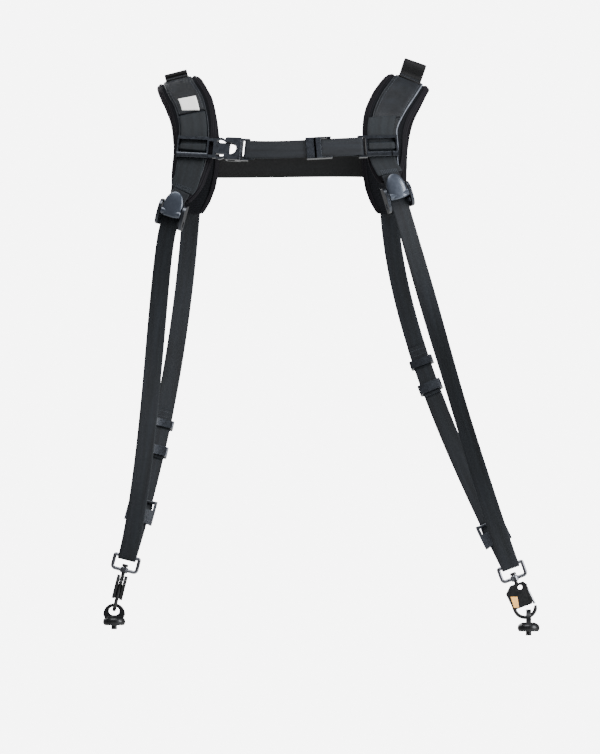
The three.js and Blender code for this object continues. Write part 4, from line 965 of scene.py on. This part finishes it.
def makeChestStrap():
    barHigh = (webThick + gap + chest["frameThick"]) / 2
    edge = chest["frameWidth"] / 2
    left, right = (chestFrame(side, path) for side, path in zip(sides, paths))
    start = moved(left, 0, edge + chest["endBarReach"], barHigh)
    end = moved(right, 0, -edge - chest["sideBarReach"], barHigh)
    run = bezierFrames(spanPoints(start, end, 0.33), np.linspace(0, 1, 97), start["N"], end["N"])
    firstWrap = flipOrder(arcFrames(start, wrapRadius, np.linspace(0, np.pi, 13), -1))
    lastWrap = arcFrames(end, wrapRadius, np.linspace(0, np.pi, 13))
    front = moved(take(run, slice(3, -3)), 0, 0, wrapRadius)
    shares = np.linspace(1, chest["glideShare"] + 0.13, 37)[1:]
    under = wrapRadius - webThick - gap
    drop = -wrapRadius + (under + wrapRadius) * smoothstep(np.arange(1, 37) / 20)
    back = turnedOver(moved(chain(*[frameAt(run, s) for s in shares]), 0, 0, drop))
    sewn = moved(take(firstWrap, 0), 0, -8, 0)
    webbingPiece("chest_web", chain(sewn, firstWrap, front, lastWrap, back), "chest_strap", flow=0.06,
                 seed=41)


def makeBackStrap():
    left, right = (take(moved(p.frame([p.ridge + 5]), 0, 0, tabEdge), 0) for p in paths)
    hang = pad["width"] / 2

    def acrossPad(f, place):
        return frames(at(f, place, 0, 0), f["A"], f["N"])
    a, b = acrossPad(left, hang), acrossPad(right, -hang)
    run = bezierFrames(spanPoints(a, b, 0.3), np.linspace(0, 1, 90), a["N"], b["N"])
    webbingPiece("back_web", chain(acrossPad(left, -hang * 0.4), run, acrossPad(right, hang * 0.4)),
                 "back_strap", "wideWebbing", width=wideWebWidth, flow=0.1, seed=51)


def makeTack(name, f, high, width=webWidth, rows=(-0.9, 0.0, 0.9)):
    # Bar tack: close rows of thread across the webbing, sewn to and fro without a break
    half = width / 2 - 1.6
    across = np.concatenate([np.linspace(-half, half, 12) * (-1) ** k for k in range(len(rows))])
    place = at(f, across, np.repeat(rows, 12), high)
    seam = frames(place, np.gradient(place, axis=0), f["N"])
    stitchPiece(name, seam, length=1.5, pitch=1.9, radius=0.26)


def makeTacks(side, path, rear):
    name = side["name"]
    top = webThick + railBase
    for row, part in ((railEndRow + 0.12, "low"), (railEndRow + 0.4, "lower")):
        middle = railMiddle(side, row)
        place = moved(take(path.frame([row]), 0), middle, 0, 0)
        makeTack(f"tack_rail_{part}_{name}", place, top, pad["railWidth"] * 0.75)
    base = railBase + pad["panelThick"] + gap + webThick
    for k, step in enumerate((-0.85, -0.6, 0.6, 0.85)):
        row = side["loopRow"] + path.rowStep(side["loopRow"], step * pad["loopLeg"])
        makeTack(f"tack_loop_{name}_{k}", take(path.frame([row]), 0), base, wideWebWidth, (0.0,))
    for row in (path.last - 0.55, path.last - 1.6):
        makeTack(f"tack_rear_{name}_{row:.1f}", take(path.frame([row]), 0), tabEdge + webThick / 2)
    for share in (side["keeperShare"] + 0.035, side["keeperShare"] + 0.02):
        makeTack(f"tack_tail_{name}_{share:.3f}", turnedOver(frameAt(rear, share)),
                 webThick * 1.5 + gap, rows=(0.0,))


rears, locks, hooks = [], [], []
for side, path in zip(sides, paths):
    lock, hook = lockFrames(side, path)
    locks.append(lock)
    hooks.append(hook)
    makeRail(side, path)
    makeTab(side, path, lock)
    makeTopLoop(side, path)
    rears.append(makeStrap(side, path, lock, hook))
    makeTacks(side, path, rears[-1])
makeChestStrap()
makeBackStrap()
print("webbing ready")

# Hardware

lever = {"width": 23.2, "length": 27.8, "lip": 4.3, "point": 1.6, "pin": 1.2}


def leverFrame(which, side, outHint):
    # The lever's own frame, from the joint that it turns on
    joint = next(j for j in frame["record"]["behaviour"]["joints"]
                 if j["name"] == f"{which}_lever_{side['name']}_lift")
    A = -unit(np.array(joint["axis"]))
    N = unit(outHint - A * np.dot(outHint, A))
    return {"P": np.array(joint["pos_m"]) / mm, "A": A, "N": N, "T": np.cross(N, A)}


def makeLever(which, side, outHint):
    # Domed thumb lever: rings from its lip to its point, each a low arch over a flat underside
    node = f"{which}_lock_{side['name']}_lever"
    f = leverFrame(which, side, outHint)
    half = lever["width"] / 2
    under = barRadius + gap + webThick + gap - leverHigh
    rise = camRadius + gap - under
    share = 1 - (1 - np.linspace(0, 1, 44)[:-1]) ** 1.8
    wide = half * (0.93 + 0.07 * smoothstep(share / 0.35)) * (1 - share ** 3.2) ** 0.52
    high = (rise + (lever["point"] - rise) * share ** 1.6) * np.sqrt(1 - share ** 7)
    lipRound = np.sqrt(1 - (1 - np.minimum(share * lever["length"] / 1.6, 1)) ** 2) * 0.14 + 0.86
    angle = np.linspace(0, np.pi, 29)
    x = np.concatenate([np.sign(np.cos(angle)) * np.abs(np.cos(angle)) ** 0.7, np.linspace(-1, 1, 9)[1:-1]])
    z = np.concatenate([np.sin(angle) ** 0.75, np.zeros(7)])
    across = x[None] * (wide * lipRound)[:, None]
    along = np.broadcast_to((lever["lip"] - share * lever["length"])[:, None], across.shape)
    out = under + z[None] * (high * lipRound)[:, None]
    dome = tubePiece(f"{node}_dome", at(f, across, along, out), "lever", bodyOf(node), sharp=50)
    hub = turnedPiece(f"{node}_cam", {**f, "A": f["N"], "N": f["T"], "T": f["A"]}, [
        [lever["pin"] + 0.4, -half + 0.4], [camRadius - 0.4, -half + 0.4], [camRadius, -half + 0.8],
        [camRadius, half - 0.8], [camRadius - 0.4, half - 0.4], [lever["pin"] + 0.4, half - 0.4]],
        "lever", bodyOf(node), bored=True)
    for piece in (dome, hub):
        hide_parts(node)


swivel = {"width": 31.0, "height": 19.0, "wire": 3.9, "corner": 3.4, "topCorner": 1.2, "boss": 4.2,
          "bossLength": 6.5, "stud": 2.0, "head": 3.4, "headThick": 3.0}
snap = {"length": 59.5, "bow": 11.5, "wire": 1.98, "coverTop": 20.4, "bowTurn": 0.94 * math.pi}


def turnedFrame(f, degrees):
    angle = math.radians(degrees)
    return {**f, "A": turnAbout(f["A"], f["T"], angle), "N": turnAbout(f["N"], f["T"], angle)}


def makeSwivel(side, hook):
    node = f"swivel_loop_{side['name']}"
    x = (swivel["width"] - swivel["wire"]) / 2
    y = (swivel["height"] - swivel["wire"]) / 2
    corner = np.linspace(0, np.pi / 2, 7)
    quarters = [(1, 1, swivel["corner"], 0.0), (-1, 1, swivel["corner"], np.pi / 2),
                (-1, -1, swivel["topCorner"], np.pi), (1, -1, swivel["topCorner"], np.pi * 1.5)]
    across = np.concatenate([sx * (x - r) + r * np.cos(corner + turn) for sx, sy, r, turn in quarters])
    along = np.concatenate([sy * (y - r) + r * np.sin(corner + turn) for sx, sy, r, turn in quarters]) + y
    path = at(hook, across, along, 0)
    ring = rodPiece(f"{node}_wire", path, swivel["wire"] / 2, "loop", bodyOf(node), closed=True,
                    up=hook["N"])
    start = swivel["height"] - swivel["wire"] - swivel["bossLength"] / 2
    end = start + swivel["bossLength"]
    bore, outer = swivel["stud"] + 0.4, swivel["boss"]
    boss = turnedPiece(f"{node}_boss", hook, [
        [bore, start], [outer - 0.7, start], [outer, start + 0.8], [outer, end - 0.8], [outer - 0.9, end],
        [bore, end]], "loop", bodyOf(node), bored=True)
    for piece in (ring, boss):
        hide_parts(node)
    return start


def makeSnapHook(side, hook, bossFrom):
    # Stud and bent wire in one: from the swivel's head down the spine, round the bow to the nose
    node = f"hook_body_{side['name']}"
    f = turnedFrame(hook, side["hookTurn"])
    headEnd = bossFrom - 0.4
    top = snap["coverTop"] + snap["wire"]
    stud, head = swivel["stud"], swivel["head"]
    post = turnedPiece(f"{node}_stud", f, [
        [head - 0.7, headEnd - swivel["headThick"]], [head, headEnd - swivel["headThick"] + 0.7],
        [head, headEnd - 0.3], [head - 0.3, headEnd], [stud, headEnd], [stud, top + 1]],
        "hook", bodyOf(node))
    spine = catmull(np.array([
        [0, top - 0.5, 0], [-snap["bow"] * 0.55, top + 2.2, 0], [-snap["bow"] * 0.93, top + 6, 0],
        [-snap["bow"], top + 11, 0], [-snap["bow"], snap["length"] - snap["bow"], 0]]), np.linspace(0, 1, 30))
    angle = np.pi - snap["bowTurn"] * np.linspace(0, 1, 40)[1:]
    x = np.concatenate([spine[:, 0], snap["bow"] * np.cos(angle)])
    y = np.concatenate([spine[:, 1], snap["length"] - snap["bow"] + snap["bow"] * np.sin(angle)])
    taper = np.interp(np.arange(len(x)), [0, len(x) - 5, len(x) - 1], [1.0, 1.0, 0.72])
    wire = rodPiece(f"{node}_bow", at(f, x, y, 0), snap["wire"] * taper, "hook", bodyOf(node), up=f["N"])
    for piece in (post, wire):
        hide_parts(node)
    return f


mark = {"corners": [[-11.2, 32.4], [-4.2, 34.8], [-6.6, 46.5], [-11.8, 44.8]], "high": 0.6, "round": 0.8,
        "plateInside": 2.0, "plateThick": 3.4}


def makeMark(f):
    # Plain orange block on the front plate of one hook's cover
    face = -(mark["plateInside"] + gap + mark["plateThick"])
    corners = np.array(mark["corners"])
    centre = corners.mean(axis=0)
    inset = corners + (centre - corners) / np.linalg.norm(centre - corners, axis=1)[:, None] * mark["round"]
    loops = [(corners, face + 0.4), (corners, face - mark["high"] * 0.6), (inset, face - mark["high"])]
    rings = np.stack([at(f, c[:, 0], c[:, 1], np.full(4, z)) for c, z in loops])
    piece = tubePiece("cover_mark", rings, "mark", "hook_right", sharp=20)


for side, path, lock, hook, rear in zip(sides, paths, locks, hooks, rears):
    name = side["name"]
    for node in (f"pad_lock_{name}_frame", f"rear_lock_{name}_frame", f"strap_slider_{name}",
                 f"strap_keeper_{name}"):
        dressedNode(node, "plastic", 0.5)
    makeLever("pad", side, lock["N"])
    makeLever("rear", side, frameAt(rear, side["lockShare"])["N"])
    hookPlane = makeSnapHook(side, hook, makeSwivel(side, hook))
    dressedNode(f"hook_cover_{name}", "hook", 0.6)
    dressedNode(f"hook_gate_{name}", "gate", 0.2, 50)
    dressedNode(f"fastener_{name}", "fastener", 0.6, 40)
makeMark(hookPlane)
for node in ("chest_slider_male", "buckle_female", "chest_frame_right", "chest_adjuster"):
    dressedNode(node, "plastic", 0.9)
print("hardware ready")
